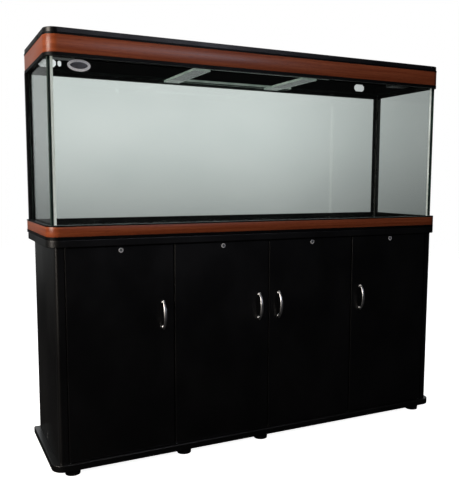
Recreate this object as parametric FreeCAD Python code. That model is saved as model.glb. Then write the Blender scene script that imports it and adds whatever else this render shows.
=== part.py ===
"""Aquarium on a four-door cabinet stand.

Millimetres, +Z up, +X along the length to the right, the front faces -Y.
The origin is on the floor, under the middle of the object.
"""

import FreeCAD
import Part

import math
import os

# ---- driving sizes: the whole, the floor, the base plate and the cabinet ----------
LENGTH = 1542.0                # base plate, top board and tank base frame
DEPTH = 410.0                  # tank base frame
FOOT_HEIGHT = 18.0
FOOT_RADIUS = 26.0
FOOT_SETBACK = 30.0            # foot axis behind the front edge, and before the rear edge
FOOT_LEFT_INSET = 65.0         # outer feet from the base plate's ends
FOOT_RIGHT_INSET = 78.0
FOOT_INNER_XS = (-322.0, -20.0)
FOOT_BOTTOM_SETBACK = 2.0      # a foot is this much narrower at the floor
FOOT_SINK_RADIUS = 5.0         # sunk hole for the screw's head
FOOT_SINK_DEPTH = 10.0
FOOT_SCREW_RADIUS = 2.5
FOOT_SCREW_HEAD_RADIUS = 4.5
FOOT_SCREW_HEAD_HEIGHT = 3.0
FOOT_SCREW_DEPTH = 14.0        # how far a foot's screw bites into the base plate
STAND_FRONT_OVERHANG = 12.0    # base plate and top board in front of the doors
STAND_REAR_OVERHANG = 2.0      # the same boards behind the side panels
CORNER_RADIUS = 40.0           # plan radius of every front corner
REAR_CORNER_RADIUS = 6.0
BOARD_EDGE_RADIUS = 2.0
BASE_PLATE_THICKNESS = 22.0
TOP_BOARD_THICKNESS = 23.0
CABINET_END_SETBACK = 22.0     # side panels inside the ends of the boards
CABINET_REAR_GAP = 25.0        # side panels before the back of the tank's base frame
CABINET_HEIGHT = 691.0
PANEL_THICKNESS = 16.0
STILE_WIDTH = 27.0
STILE_DEPTH = 26.0
STILE_RADIUS = 10.0            # rounded outer front edge of a stile
BACK_PANEL_THICKNESS = 4.0
BACK_PANEL_INSET = 3.0
HOSE_HOLE_RADIUS = 30.0        # round hose holes in the cabinet's back panel
HOSE_HOLE_DROP = 91.0          # their centre below the top board
SIDE_CAP_LENGTH = 20.0
SIDE_CAP_WIDTH = 5.0
SIDE_CAP_THICKNESS = 1.0
SIDE_CAP_RISE = 18.0           # cap centre above the base plate
SIDE_CAP_BACK = 218.0          # cap centre behind the door fronts

# ---- doors, pivots, handles and locks -------------------------------------------
DOORS = 4
DOOR_THICKNESS = 16.0
DOOR_GAP = 2.5                 # between two doors, and half of it beside a stile
DOOR_END_GAP = 2.5             # above and below a door
DOOR_EDGE_RADIUS = 2.0
DOOR_STOP_GAP = 0.5            # partition edge to the swing of a door's back corner
PIVOT_RADIUS = 3.0
PIVOT_INSET = 5.0              # pivot axis from the hinge edge and from the front face
PIVOT_CLEARANCE = 0.06
PIVOT_IN_DOOR = 18.0
PIVOT_IN_BOARD = 10.0
HANDLE_HEIGHT = 100.0
HANDLE_BULGE = 28.0            # how far the bow stands out from the door
HANDLE_MIDDLE = 8.0            # bow thickness at its middle
HANDLE_WIDTH = 11.0
HANDLE_END_GAP = 5.0           # bow tip to door face
HANDLE_POST_RADIUS = 3.5
HANDLE_POST_SPACING = 84.0
HANDLE_EDGE = 40.0             # bow centre from the door seam
HANDLE_DROP = 237.0            # bow centre below the top board
HANDLE_SCREW_RADIUS = 2.0
HANDLE_SCREW_HEAD = 4.0
HANDLE_SCREW_HEAD_THICKNESS = 2.0
LOCK_FACE_RADIUS = 8.0
LOCK_FACE_PROUD = 1.5
LOCK_BARREL_RADIUS = 7.0
LOCK_PLUG_RADIUS = 4.5
LOCK_CLEARANCE = 0.06
LOCK_DROP = 13.0               # lock axis below the door's top edge
LOCK_TAIL = 3.0                # barrel behind the door
LOCK_CAM_GAP = 4.0             # barrel end to cam tongue
LOCK_CAM_THICKNESS = 2.0
LOCK_CAM_WIDTH = 8.0
LOCK_CAM_REACH = 13.0
LOCK_HUB_RADIUS = 5.5
KEY_SLOT_WIDTH = 1.4
KEY_SLOT_LENGTH = 6.0
KEY_SLOT_DEPTH = 6.0
KEEPER_GAP = 1.0               # keeper's leg behind the lock barrel
KEEPER_WIDTH = 24.0
KEEPER_THICKNESS = 1.5
KEEPER_DROP = 6.0
KEEPER_DEPTH = 20.0

# ---- tank ---------------------------------------------------------------------
GLASS_END_SETBACK = 16.0       # glass inside the ends of the tank's base frame
GLASS_FRONT_SETBACK = 25.0     # glass behind its front, and before its back
GLASS_THICKNESS = 10.0
FLOOR_GLASS_THICKNESS = 12.0
GLASS_HEIGHT = 550.0           # walls, above the floor pane
GLASS_CLEARANCE = 1.0          # glass to frame
BAND_THICKNESS = 2.0           # wood-grain bands
BAND_SETBACK = 0.5             # band face behind the lips beside it
BAND_REAR_GAP = 8.0            # a band ends this far before the frame's back
BASE_LIP = 10.0                # tank base frame: lower lip, band, upper lip
BASE_BAND = 31.0
BASE_TOP_LIP = 4.0
FRAME_WALL = 3.0
CORNER_WALL = 1.5              # least wall of a frame beside a square glass corner
BASE_FLANGE_THICKNESS = 5.0
BASE_FLANGE_WIDTH = 25.0
POST_LENGTH = 28.0             # leg of an L-shaped rear corner post
POST_THICKNESS = 11.0
BEAD = 8.0                     # leg of a corner bead of silicone
BRACE_WIDTH = 36.0
BRACE_THICKNESS = 8.0
BRACE_DROP = 10.0              # brace underside below the top edge of the glass
BRACE_SPAN = (-252.0, 278.0)   # where the front and rear braces start and end
CROSS_BRACE_WIDTH = 62.0
CROSS_BRACE_XS = (-240.0, 186.0)
CROSS_BRACE_BITE = 12.0        # overlap of a cross brace on the front and rear braces
BADGE_LENGTH = 73.0
BADGE_HEIGHT = 39.0
BADGE_THICKNESS = 0.6
BADGE_INSET = 95.0             # badge centre from the left end of the glass
BADGE_DROP = 38.0              # badge centre below the top edge of the glass
CLIP_INSET = 409.0             # clip from the left end of the glass
CLIP_WIDTH = 16.0
CLIP_HEIGHT = 14.0
CLIP_THICKNESS = 2.0

# ---- hood ---------------------------------------------------------------------
HOOD_END_SETBACK = 6.0         # hood inside the ends of the tank's base frame
HOOD_FRONT_SETBACK = 4.0       # hood behind its front, and before its back
HOOD_OVERLAP = 17.0            # hood skirt below the top edge of the glass
HOOD_LIP = 10.0
HOOD_BAND = 52.0
HOOD_RIM = 6.0
HOOD_RIM_WIDTH = 14.0
HOOD_LEDGE_WIDTH = 15.0        # ledge past the inner face of the glass
LID_GAP = 1.0                  # shadow line between rim and lids
LID_INSET = 2.0
LID_HEIGHT = 14.0
LID_SKIN = 3.0
FLAP_DEPTH = 128.0             # front edge of the hood to the flap's hinge line
FLAP_HINGE_RADIUS = 4.0
FLAP_HINGE_PIN_RADIUS = 1.5
FLAP_KNUCKLES = 9
FLAP_EDGE = 6.0                # flap skin before the hinge line
LID_EDGE = 7.0                 # rear lid skin behind the hinge line
LID_SKIRT_SETBACK = 14.0       # rear lid's front rib behind the hinge line
KNUCKLE_GAP = 1.0
HINGE_CLEARANCE = 0.06
LID_HINGE_INSET = 205.0        # outer lid hinges from the hood's ends
LID_HINGE_WIDTH = 60.0
LID_HINGE_RADIUS = 3.5
LID_HINGE_PIN_RADIUS = 1.5
LID_NOTCH_CLEARANCE = 1.0
PAD_RADIUS = 5.0
PAD_COUNT = 4                  # lid rest pads along the front rim
PAD_INSET = 165.0              # outer pads from the hood's ends
REAR_HOLE_INSETS = (82.0, 97.0)  # octagonal hose holes from the hood's left and right ends
REAR_HOLE_WIDTH = 54.0
REAR_HOLE_HEIGHT = 30.0
REAR_HOLE_CUT = 9.0            # corner cut of the octagon
REAR_HOLE_RISE = 46.0          # hole centre above the hood's lower edge
CABLE_HOLE_INSET = 121.0       # oval cable hole from the hood's left end
CABLE_HOLE_WIDTH = 13.0
CABLE_HOLE_HEIGHT = 20.0

# ---- lamp ---------------------------------------------------------------------
LAMP_END_GAP = 120.0           # lamp inside the hood's ends
LAMP_WIDTH = 60.0
LAMP_HEIGHT = 22.0
LAMP_WALL = 1.5
LAMP_BEHIND_HINGE = 41.0       # lamp's middle behind the flap's hinge line
LAMP_RISE = 22.0               # lamp underside above the top edge of the glass
TUBE_RADIUS = 8.0
TUBE_SPACING = 27.0
TUBE_END = 28.0                # holder length at each end of a tube
COVER_THICKNESS = 2.0
LAMP_BRACKET_THICKNESS = 2.0
LAMP_BRACKET_WIDTH = 40.0

# ---- levels and outlines that follow from the sizes above --------------------------
PLATE_Z = FOOT_HEIGHT
CABINET_Z = PLATE_Z + BASE_PLATE_THICKNESS
BOARD_Z = CABINET_Z + CABINET_HEIGHT
FRAME_Z = BOARD_Z + TOP_BOARD_THICKNESS
FLOOR_Z = FRAME_Z + BASE_FLANGE_THICKNESS
WALL_Z = FLOOR_Z + FLOOR_GLASS_THICKNESS
GLASS_TOP = WALL_Z + GLASS_HEIGHT
BASE_BAND_Z = FRAME_Z + BASE_LIP
BASE_TOP_LIP_Z = BASE_BAND_Z + BASE_BAND
FRAME_TOP = BASE_TOP_LIP_Z + BASE_TOP_LIP
HOOD_Z = GLASS_TOP - HOOD_OVERLAP
HOOD_BAND_Z = HOOD_Z + HOOD_LIP
HOOD_RIM_Z = HOOD_BAND_Z + HOOD_BAND
RIM_TOP = HOOD_RIM_Z + HOOD_RIM
LID_Z = RIM_TOP + LID_GAP
LID_TOP = LID_Z + LID_HEIGHT

STAND_X = LENGTH / 2
STAND_Y = DEPTH / 2
FRONT_Y = -STAND_Y
DOOR_Y = FRONT_Y + STAND_FRONT_OVERHANG
CABINET_BACK = STAND_Y - CABINET_REAR_GAP
STAND_BACK = CABINET_BACK + STAND_REAR_OVERHANG
CABINET_X = STAND_X - CABINET_END_SETBACK
DOOR_SPAN_X = CABINET_X - STILE_WIDTH
DOOR_PITCH = 2 * DOOR_SPAN_X / DOORS
DOOR_BACK = DOOR_Y + DOOR_THICKNESS
DOOR_Z = CABINET_Z + DOOR_END_GAP
DOOR_TOP = BOARD_Z - DOOR_END_GAP
DOOR_SWING_ROOM = math.hypot(PIVOT_INSET, DOOR_THICKNESS - PIVOT_INSET) - DOOR_THICKNESS + PIVOT_INSET
HANDLE_Z = BOARD_Z - HANDLE_DROP
HOSE_HOLE_Z = BOARD_Z - HOSE_HOLE_DROP
GLASS_X = STAND_X - GLASS_END_SETBACK
GLASS_Y = STAND_Y - GLASS_FRONT_SETBACK
INNER_X = GLASS_X - GLASS_THICKNESS
INNER_Y = GLASS_Y - GLASS_THICKNESS
HOOD_X = STAND_X - HOOD_END_SETBACK
HOOD_Y = STAND_Y - HOOD_FRONT_SETBACK
BAND_RECESS = BAND_THICKNESS + BAND_SETBACK
FLAP_HINGE_Y = FLAP_DEPTH - HOOD_Y
FLAP_HINGE_Z = LID_TOP - FLAP_HINGE_RADIUS
LID_HINGE_Y = HOOD_Y
LID_HINGE_Z = LID_Z
LID_HINGE_XS = (LID_HINGE_INSET - HOOD_X, 0.0, HOOD_X - LID_HINGE_INSET)
LAMP_X = HOOD_X - LAMP_END_GAP
LAMP_Y = FLAP_HINGE_Y + LAMP_BEHIND_HINGE
LAMP_Z = GLASS_TOP + LAMP_RISE

DOOR_NAMES = ("outer_left", "inner_left", "inner_right", "outer_right")
CUT_MARGIN = 1.0               # how far a cutting solid runs past the face it cuts

X_AXIS = FreeCAD.Vector(1, 0, 0)
Y_AXIS = FreeCAD.Vector(0, 1, 0)
Z_AXIS = FreeCAD.Vector(0, 0, 1)


# ---- helpers ------------------------------------------------------------------
def box(x0, x1, y0, y1, z0, z1):
    """A block between two corners."""
    return Part.makeBox(x1 - x0, y1 - y0, z1 - z0, FreeCAD.Vector(x0, y0, z0))


def rod(centre, radius, length, axis):
    """A cylinder that starts at centre and runs along axis."""
    return Part.makeCylinder(radius, length, FreeCAD.Vector(*centre), axis)


def prism(points, offset):
    """A closed polygon pushed along offset."""
    wire = Part.makePolygon([FreeCAD.Vector(*p) for p in points + points[:1]])
    return Part.Face(wire).extrude(FreeCAD.Vector(*offset))


def outline(half_x, front, back, z, front_radius, rear_radius):
    """A rounded rectangle in plan, square at a corner whose radius is nothing."""
    corners = (
        (-half_x, front, front_radius, 1, 1),
        (half_x, front, front_radius, -1, 1),
        (half_x, back, rear_radius, -1, -1),
        (-half_x, back, rear_radius, 1, -1),
    )
    edges = []
    ends = []
    for number, (x, y, radius, in_x, in_y) in enumerate(corners):
        along_x = FreeCAD.Vector(x + in_x * radius, y, z)
        along_y = FreeCAD.Vector(x, y + in_y * radius, z)
        first, last = (along_y, along_x) if number % 2 == 0 else (along_x, along_y)
        if radius > 0:
            slant = radius * (1 - math.sqrt(0.5))
            middle = FreeCAD.Vector(x + in_x * slant, y + in_y * slant, z)
            edges.append(Part.Arc(first, middle, last).toShape())
        ends.append((first, last))
    for number in range(len(ends)):
        start = ends[number][1]
        finish = ends[(number + 1) % len(ends)][0]
        edges.append(Part.makeLine(start, finish))
    return Part.Wire(Part.__sortEdges__(edges))


def slab(half_x, front, back, z0, z1, front_radius=0.0, rear_radius=0.0):
    """A plate with rounded corners in plan, centred on X."""
    wire = outline(half_x, front, back, z0, front_radius, rear_radius)
    return Part.Face(wire).extrude(FreeCAD.Vector(0, 0, z1 - z0))


def soften(shape, levels, radius):
    """Round the edges that lie flat at the given heights."""
    edges = []
    for edge in shape.Edges:
        limits = edge.BoundBox
        flat = limits.ZMax - limits.ZMin < 1e-6
        if flat and any(abs(limits.ZMin - level) < 1e-6 for level in levels):
            edges.append(edge)
    return shape.makeFillet(radius, edges)


def upright_fillet(shape, x, y, radius):
    """Round the upright edge that stands at x, y."""
    edges = []
    for edge in shape.Edges:
        limits = edge.BoundBox
        thin = limits.XLength < 1e-6 and limits.YLength < 1e-6
        if thin and abs(limits.XMin - x) < 1e-6 and abs(limits.YMin - y) < 1e-6:
            edges.append(edge)
    return shape.makeFillet(radius, edges)


def mirror(shape):
    """The same shape on the other side of the middle."""
    return shape.mirror(FreeCAD.Vector(0, 0, 0), X_AXIS)


def join(shapes):
    """Fuse shapes that touch into one solid."""
    return shapes[0].multiFuse(shapes[1:]).removeSplitter()


def write(name, shapes):
    """Write one node; a list is a group of separate solids."""
    shape = shapes if isinstance(shapes, Part.Shape) else Part.Compound(shapes)
    if not shape.isValid():
        raise ValueError(name + " is not a valid shape")
    shape.exportStep(os.path.join("parts", name + ".step"))


def corner_limit(side, front, wall):
    """Largest plan radius that still leaves a wall around a square glass corner.

    side and front are the distances from the frame's outer faces to the glass.
    """
    reach = side + front - wall
    return reach + math.sqrt(max(reach * reach - side * side - front * front + wall * wall, 0.0))


# ---- stand --------------------------------------------------------------------
def stand_board(z0, z1):
    """A board with rounded front corners and softened edges, as the plate and the top."""
    board = slab(STAND_X, FRONT_Y, STAND_BACK, z0, z1, CORNER_RADIUS, REAR_CORNER_RADIUS)
    return soften(board, (z0, z1), BOARD_EDGE_RADIUS)


def foot_places():
    """Where the feet stand: one row along the front, one along the back."""
    rows = (FRONT_Y + FOOT_SETBACK, STAND_BACK - FOOT_SETBACK)
    columns = (FOOT_LEFT_INSET - STAND_X,) + FOOT_INNER_XS + (STAND_X - FOOT_RIGHT_INSET,)
    return [(x, y) for y in rows for x in columns]


def base_plate():
    """The plate that the cabinet stands on, with holes for screws and door pivots."""
    plate = stand_board(PLATE_Z, CABINET_Z)
    for x, y in foot_places():
        plate = plate.cut(rod((x, y, PLATE_Z), FOOT_SCREW_RADIUS, FOOT_SCREW_DEPTH, Z_AXIS))
    for x in pivot_xs():
        hole = rod((x, pivot_y(), CABINET_Z - PIVOT_IN_BOARD), PIVOT_RADIUS, PIVOT_IN_BOARD, Z_AXIS)
        plate = plate.cut(hole)
    return plate


def top_board():
    """The board under the tank, with the upper pivot holes."""
    board = stand_board(BOARD_Z, FRAME_Z)
    for x in pivot_xs():
        board = board.cut(rod((x, pivot_y(), BOARD_Z), PIVOT_RADIUS, PIVOT_IN_BOARD, Z_AXIS))
    return board


def feet():
    """Round plastic feet with a sunk hole for the screw."""
    bottom_radius = FOOT_RADIUS - FOOT_BOTTOM_SETBACK
    made = []
    for x, y in foot_places():
        foot = Part.makeCone(bottom_radius, FOOT_RADIUS, FOOT_HEIGHT, FreeCAD.Vector(x, y, 0), Z_AXIS)
        foot = foot.cut(rod((x, y, 0), FOOT_SCREW_RADIUS, FOOT_HEIGHT, Z_AXIS))
        foot = foot.cut(rod((x, y, 0), FOOT_SINK_RADIUS, FOOT_SINK_DEPTH, Z_AXIS))
        made.append(foot)
    return made


def foot_screws():
    """One pan-head screw in each foot."""
    height = FOOT_SCREW_HEAD_HEIGHT
    top = PLATE_Z + FOOT_SCREW_DEPTH
    made = []
    for x, y in foot_places():
        shank = rod((x, y, FOOT_SINK_DEPTH), FOOT_SCREW_RADIUS, top - FOOT_SINK_DEPTH, Z_AXIS)
        head = rod((x, y, FOOT_SINK_DEPTH - height), FOOT_SCREW_HEAD_RADIUS, height, Z_AXIS)
        made.append(join([shank, head]))
    return made


def side_panel():
    """The left side panel, behind its front stile."""
    return box(
        -CABINET_X, PANEL_THICKNESS - CABINET_X, DOOR_Y + STILE_DEPTH, CABINET_BACK, CABINET_Z, BOARD_Z
    )


def front_stile():
    """The left front stile with its rounded outer edge."""
    stile = box(
        -CABINET_X, STILE_WIDTH - CABINET_X, DOOR_Y, DOOR_Y + STILE_DEPTH, CABINET_Z, BOARD_Z
    )
    return upright_fillet(stile, -CABINET_X, DOOR_Y, STILE_RADIUS)


def partition(x):
    """An upright panel that carries the top board and stops the doors beside it."""
    half = PANEL_THICKNESS / 2
    back = CABINET_BACK - BACK_PANEL_INSET - BACK_PANEL_THICKNESS
    front = DOOR_BACK + DOOR_SWING_ROOM + DOOR_STOP_GAP
    return box(x - half, x + half, front, back, CABINET_Z, BOARD_Z)


def partition_xs():
    """A partition stands behind each seam between two doors."""
    return [DOOR_PITCH * (number + 1) - DOOR_SPAN_X for number in range(DOORS - 1)]


def hose_hole_xs():
    """The cabinet's hose holes, each in the middle of an outer bay."""
    outer = (DOORS - 1) * DOOR_PITCH / 2
    return (-outer, outer)


def back_panel():
    """The thin back panel with two round hose holes."""
    half = CABINET_X - PANEL_THICKNESS
    back = CABINET_BACK - BACK_PANEL_INSET
    front = back - BACK_PANEL_THICKNESS
    panel = box(-half, half, front, back, CABINET_Z, BOARD_Z)
    for x in hose_hole_xs():
        panel = panel.cut(
            rod((x, front, HOSE_HOLE_Z), HOSE_HOLE_RADIUS, BACK_PANEL_THICKNESS, Y_AXIS)
        )
    return panel


def side_caps():
    """Cover caps over the connector low on each side panel."""
    half = SIDE_CAP_WIDTH / 2
    y = DOOR_Y + SIDE_CAP_BACK
    z = CABINET_Z + SIDE_CAP_RISE
    reach = SIDE_CAP_LENGTH / 2 - half
    outer = -CABINET_X - SIDE_CAP_THICKNESS
    bar = box(outer, -CABINET_X, y - half, y + half, z - reach, z + reach)
    low = rod((outer, y, z - reach), half, SIDE_CAP_THICKNESS, X_AXIS)
    high = rod((outer, y, z + reach), half, SIDE_CAP_THICKNESS, X_AXIS)
    cap = join([bar, low, high])
    return [cap, mirror(cap)]


# ---- doors --------------------------------------------------------------------
def door_sides(number):
    """Hinge edge, free edge and the direction from one to the other."""
    left = -DOOR_SPAN_X + DOOR_PITCH * number + DOOR_GAP / 2
    right = left + DOOR_PITCH - DOOR_GAP
    if number < DOORS // 2:
        return left, right, 1
    return right, left, -1


def pivot_y():
    """Depth of every pivot axis."""
    return DOOR_Y + PIVOT_INSET


def pivot_xs():
    """X of each door's pivot axis."""
    places = []
    for number in range(DOORS):
        hinge, _, towards = door_sides(number)
        places.append(hinge + towards * PIVOT_INSET)
    return places


def lock_place(number):
    """The lock's axis, in the middle of the door near its top edge."""
    hinge, free, _ = door_sides(number)
    return (hinge + free) / 2, DOOR_TOP - LOCK_DROP


def handle_x(number):
    """The handle's middle plane."""
    _, free, towards = door_sides(number)
    return free - towards * (HANDLE_EDGE - DOOR_GAP / 2)


def door(number):
    """A door leaf: pivot holes, a lock hole and two handle screw holes."""
    hinge, free, towards = door_sides(number)
    leaf = box(min(hinge, free), max(hinge, free), DOOR_Y, DOOR_BACK, DOOR_Z, DOOR_TOP)
    leaf = upright_fillet(leaf, hinge, DOOR_Y, PIVOT_INSET)
    leaf = upright_fillet(leaf, free, DOOR_Y, DOOR_EDGE_RADIUS)
    bore = PIVOT_RADIUS + PIVOT_CLEARANCE
    x = hinge + towards * PIVOT_INSET
    leaf = leaf.cut(rod((x, pivot_y(), DOOR_Z), bore, PIVOT_IN_DOOR, Z_AXIS))
    leaf = leaf.cut(rod((x, pivot_y(), DOOR_TOP - PIVOT_IN_DOOR), bore, PIVOT_IN_DOOR, Z_AXIS))
    lock_x, lock_z = lock_place(number)
    leaf = leaf.cut(rod((lock_x, DOOR_Y, lock_z), LOCK_BARREL_RADIUS, DOOR_THICKNESS, Y_AXIS))
    for z in handle_post_zs():
        place = (handle_x(number), DOOR_Y, z)
        leaf = leaf.cut(rod(place, HANDLE_SCREW_RADIUS, DOOR_THICKNESS, Y_AXIS))
    return leaf


def door_pivot_pins():
    """Steel pins held in the boards, which the doors turn on."""
    reach = PIVOT_IN_DOOR - DOOR_END_GAP
    length = PIVOT_IN_BOARD + DOOR_END_GAP + reach
    made = []
    for x in pivot_xs():
        made.append(rod((x, pivot_y(), CABINET_Z - PIVOT_IN_BOARD), PIVOT_RADIUS, length, Z_AXIS))
        made.append(rod((x, pivot_y(), DOOR_TOP - reach), PIVOT_RADIUS, length, Z_AXIS))
    return made


def handle_post_zs():
    """Heights of a handle's two posts."""
    return (HANDLE_Z - HANDLE_POST_SPACING / 2, HANDLE_Z + HANDLE_POST_SPACING / 2)


def bow_arc(x, tip, middle):
    """An arc in the YZ plane through both bow tips and the bow's middle."""
    half = HANDLE_HEIGHT / 2
    low = FreeCAD.Vector(x, DOOR_Y - tip, HANDLE_Z - half)
    high = FreeCAD.Vector(x, DOOR_Y - tip, HANDLE_Z + half)
    return Part.Arc(low, FreeCAD.Vector(x, DOOR_Y - middle, HANDLE_Z), high).toShape()


def bow_depth(z):
    """How far the bow's inner face stands from the door at a height."""
    half = HANDLE_HEIGHT / 2
    rise = HANDLE_BULGE - HANDLE_MIDDLE - HANDLE_END_GAP
    radius = (half * half + rise * rise) / (2 * rise)
    return HANDLE_BULGE - HANDLE_MIDDLE - radius + math.sqrt(radius * radius - (z - HANDLE_Z) ** 2)


def handle(number):
    """A crescent bow on two posts, with the two screws that hold it."""
    x = handle_x(number)
    left = x - HANDLE_WIDTH / 2
    outer = bow_arc(left, HANDLE_END_GAP, HANDLE_BULGE)
    inner = bow_arc(left, HANDLE_END_GAP, HANDLE_BULGE - HANDLE_MIDDLE)
    bow = Part.Face(Part.Wire([outer, inner])).extrude(FreeCAD.Vector(HANDLE_WIDTH, 0, 0))
    pieces = [bow]
    for z in handle_post_zs():
        reach = bow_depth(z) + HANDLE_MIDDLE / 4
        pieces.append(rod((x, DOOR_Y - reach, z), HANDLE_POST_RADIUS, reach, Y_AXIS))
    body = join(pieces)
    screws = []
    for z in handle_post_zs():
        shank = rod((x, DOOR_Y, z), HANDLE_SCREW_RADIUS, DOOR_THICKNESS, Y_AXIS)
        head = rod((x, DOOR_BACK, z), HANDLE_SCREW_HEAD, HANDLE_SCREW_HEAD_THICKNESS, Y_AXIS)
        screws.append(join([shank, head]))
    return [body] + screws


def lock_barrel(number):
    """The lock's fixed barrel: a face ring and a body through the door."""
    x, z = lock_place(number)
    body_length = DOOR_THICKNESS + LOCK_TAIL
    bore = LOCK_PLUG_RADIUS + LOCK_CLEARANCE
    face = rod((x, DOOR_Y - LOCK_FACE_PROUD, z), LOCK_FACE_RADIUS, LOCK_FACE_PROUD, Y_AXIS)
    body = rod((x, DOOR_Y, z), LOCK_BARREL_RADIUS, body_length, Y_AXIS)
    length = body_length + LOCK_FACE_PROUD
    return join([face, body]).cut(rod((x, DOOR_Y - LOCK_FACE_PROUD, z), bore, length, Y_AXIS))


def cam_face():
    """Depth of the cam tongue's front face."""
    return DOOR_BACK + LOCK_TAIL + LOCK_CAM_GAP


def lock_cam(number):
    """The turning plug with its key slot, and the tongue behind it."""
    x, z = lock_place(number)
    face = DOOR_Y - LOCK_FACE_PROUD
    plug = rod((x, face, z), LOCK_PLUG_RADIUS, cam_face() - face, Y_AXIS)
    half = KEY_SLOT_LENGTH / 2
    slot = box(
        x - KEY_SLOT_WIDTH / 2, x + KEY_SLOT_WIDTH / 2, face, face + KEY_SLOT_DEPTH, z - half, z + half
    )
    back = cam_face() + LOCK_CAM_THICKNESS
    width = LOCK_CAM_WIDTH / 2
    tongue = box(x, x + LOCK_CAM_REACH, cam_face(), back, z - width, z + width)
    hub = rod((x, cam_face(), z), LOCK_HUB_RADIUS, LOCK_CAM_THICKNESS, Y_AXIS)
    return join([plug.cut(slot), tongue, hub])


def lock_keepers():
    """Angle plates under the top board, which the turned tongues catch behind."""
    front = DOOR_BACK + LOCK_TAIL + KEEPER_GAP
    made = []
    for number in range(DOORS):
        x, _ = lock_place(number)
        half = KEEPER_WIDTH / 2
        bottom = BOARD_Z - KEEPER_THICKNESS
        leg = box(x - half, x + half, front, front + KEEPER_THICKNESS, BOARD_Z - KEEPER_DROP, BOARD_Z)
        foot = box(x - half, x + half, front, front + KEEPER_DEPTH, bottom, BOARD_Z)
        made.append(join([leg, foot]))
    return made


# ---- tank ---------------------------------------------------------------------
def frame_radius(half_x, half_y, wall):
    """Front corner radius of a frame round the glass."""
    return min(CORNER_RADIUS, corner_limit(half_x - GLASS_X, half_y - GLASS_Y, wall))


def base_frame_radius():
    """Front corner radius of the tank's base frame."""
    return frame_radius(STAND_X, STAND_Y, BAND_RECESS + FRAME_WALL + GLASS_CLEARANCE)


def base_core():
    """The base frame's outline behind the wood-grain band."""
    return STAND_X - BAND_RECESS, BAND_RECESS - STAND_Y, STAND_Y, base_frame_radius() - BAND_RECESS


def tank_base_frame():
    """The plastic frame the tank stands in: two lips, a core, a channel and a flange."""
    radius = base_frame_radius()
    core_x, core_front, core_back, core_radius = base_core()
    lip = slab(STAND_X, -STAND_Y, STAND_Y, FRAME_Z, BASE_BAND_Z, radius, REAR_CORNER_RADIUS)
    top = slab(STAND_X, -STAND_Y, STAND_Y, BASE_TOP_LIP_Z, FRAME_TOP, radius, REAR_CORNER_RADIUS)
    core = slab(
        core_x, core_front, core_back, FRAME_Z, FRAME_TOP, core_radius, REAR_CORNER_RADIUS
    )
    frame = join([core, lip, top])
    seat_x = GLASS_X + GLASS_CLEARANCE
    seat_y = GLASS_Y + GLASS_CLEARANCE
    frame = frame.cut(slab(seat_x, -seat_y, seat_y, FLOOR_Z, FRAME_TOP + CUT_MARGIN))
    hole_x = GLASS_X - BASE_FLANGE_WIDTH
    hole_y = GLASS_Y - BASE_FLANGE_WIDTH
    frame = frame.cut(slab(hole_x, -hole_y, hole_y, FRAME_Z - CUT_MARGIN, FLOOR_Z))
    channel = slab(
        core_x - FRAME_WALL,
        core_front + FRAME_WALL,
        core_back - FRAME_WALL,
        FRAME_Z - CUT_MARGIN,
        BASE_TOP_LIP_Z,
        core_radius - FRAME_WALL,
        REAR_CORNER_RADIUS / 2,
    )
    wall_x = seat_x + FRAME_WALL
    wall_y = seat_y + FRAME_WALL
    inner = slab(wall_x, -wall_y, wall_y, FRAME_Z - CUT_MARGIN, BASE_TOP_LIP_Z)
    return frame.cut(channel.cut(inner))


def band(core, z0, z1):
    """A wood-grain band on a frame's front and sides, open along the back."""
    half_x, front, back, radius = core
    outer = slab(
        half_x + BAND_THICKNESS, front - BAND_THICKNESS, back, z0, z1, radius + BAND_THICKNESS
    )
    inner = slab(half_x, front, back + CUT_MARGIN, z0, z1, radius)
    rear = box(-LENGTH, LENGTH, back - BAND_REAR_GAP, back + CUT_MARGIN, z0, z1)
    return outer.cut(inner).cut(rear)


def tank_mat():
    """The foam mat between the top board and the floor pane."""
    x = GLASS_X - BASE_FLANGE_WIDTH - GLASS_CLEARANCE
    y = GLASS_Y - BASE_FLANGE_WIDTH - GLASS_CLEARANCE
    return box(-x, x, -y, y, FRAME_Z, FLOOR_Z)


def floor_pane():
    """The floor pane; the four walls stand on it."""
    return box(-GLASS_X, GLASS_X, -GLASS_Y, GLASS_Y, FLOOR_Z, WALL_Z)


def long_pane(y0, y1):
    """A front or back pane."""
    return box(-GLASS_X, GLASS_X, y0, y1, WALL_Z, GLASS_TOP)


def end_pane(x0, x1):
    """A side pane, between the front and back panes."""
    return box(x0, x1, -INNER_Y, INNER_Y, WALL_Z, GLASS_TOP)


def corner_bead(x_sign, y_sign):
    """A three-sided bead of silicone in an upright inside corner."""
    x = x_sign * INNER_X
    y = y_sign * INNER_Y
    z = WALL_Z + BEAD
    points = [(x, y, z), (x - x_sign * BEAD, y, z), (x, y - y_sign * BEAD, z)]
    return prism(points, (0, 0, GLASS_TOP - BRACE_DROP - z))


def corner_post():
    """The left L-shaped post outside a rear glass corner, between base frame and hood."""
    x = GLASS_X + GLASS_CLEARANCE
    y = GLASS_Y + GLASS_CLEARANCE
    out_x = x + POST_THICKNESS
    out_y = y + POST_THICKNESS
    post = box(-out_x, POST_LENGTH - out_x, out_y - POST_LENGTH, out_y, FRAME_TOP, HOOD_Z)
    post = upright_fillet(post, -out_x, out_y, REAR_CORNER_RADIUS)
    return post.cut(box(-x, 0, 0, y, FRAME_TOP, HOOD_Z))


def floor_seam():
    """The bead round the tank's floor."""
    outer = box(-INNER_X, INNER_X, -INNER_Y, INNER_Y, WALL_Z, WALL_Z + BEAD)
    low_x = INNER_X - BEAD
    low_y = INNER_Y - BEAD
    lower = outline(low_x, -low_y, low_y, WALL_Z, 0, 0)
    upper = outline(INNER_X, -INNER_Y, INNER_Y, WALL_Z + BEAD, 0, 0)
    return outer.cut(Part.makeLoft([lower, upper], True, True))


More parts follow.
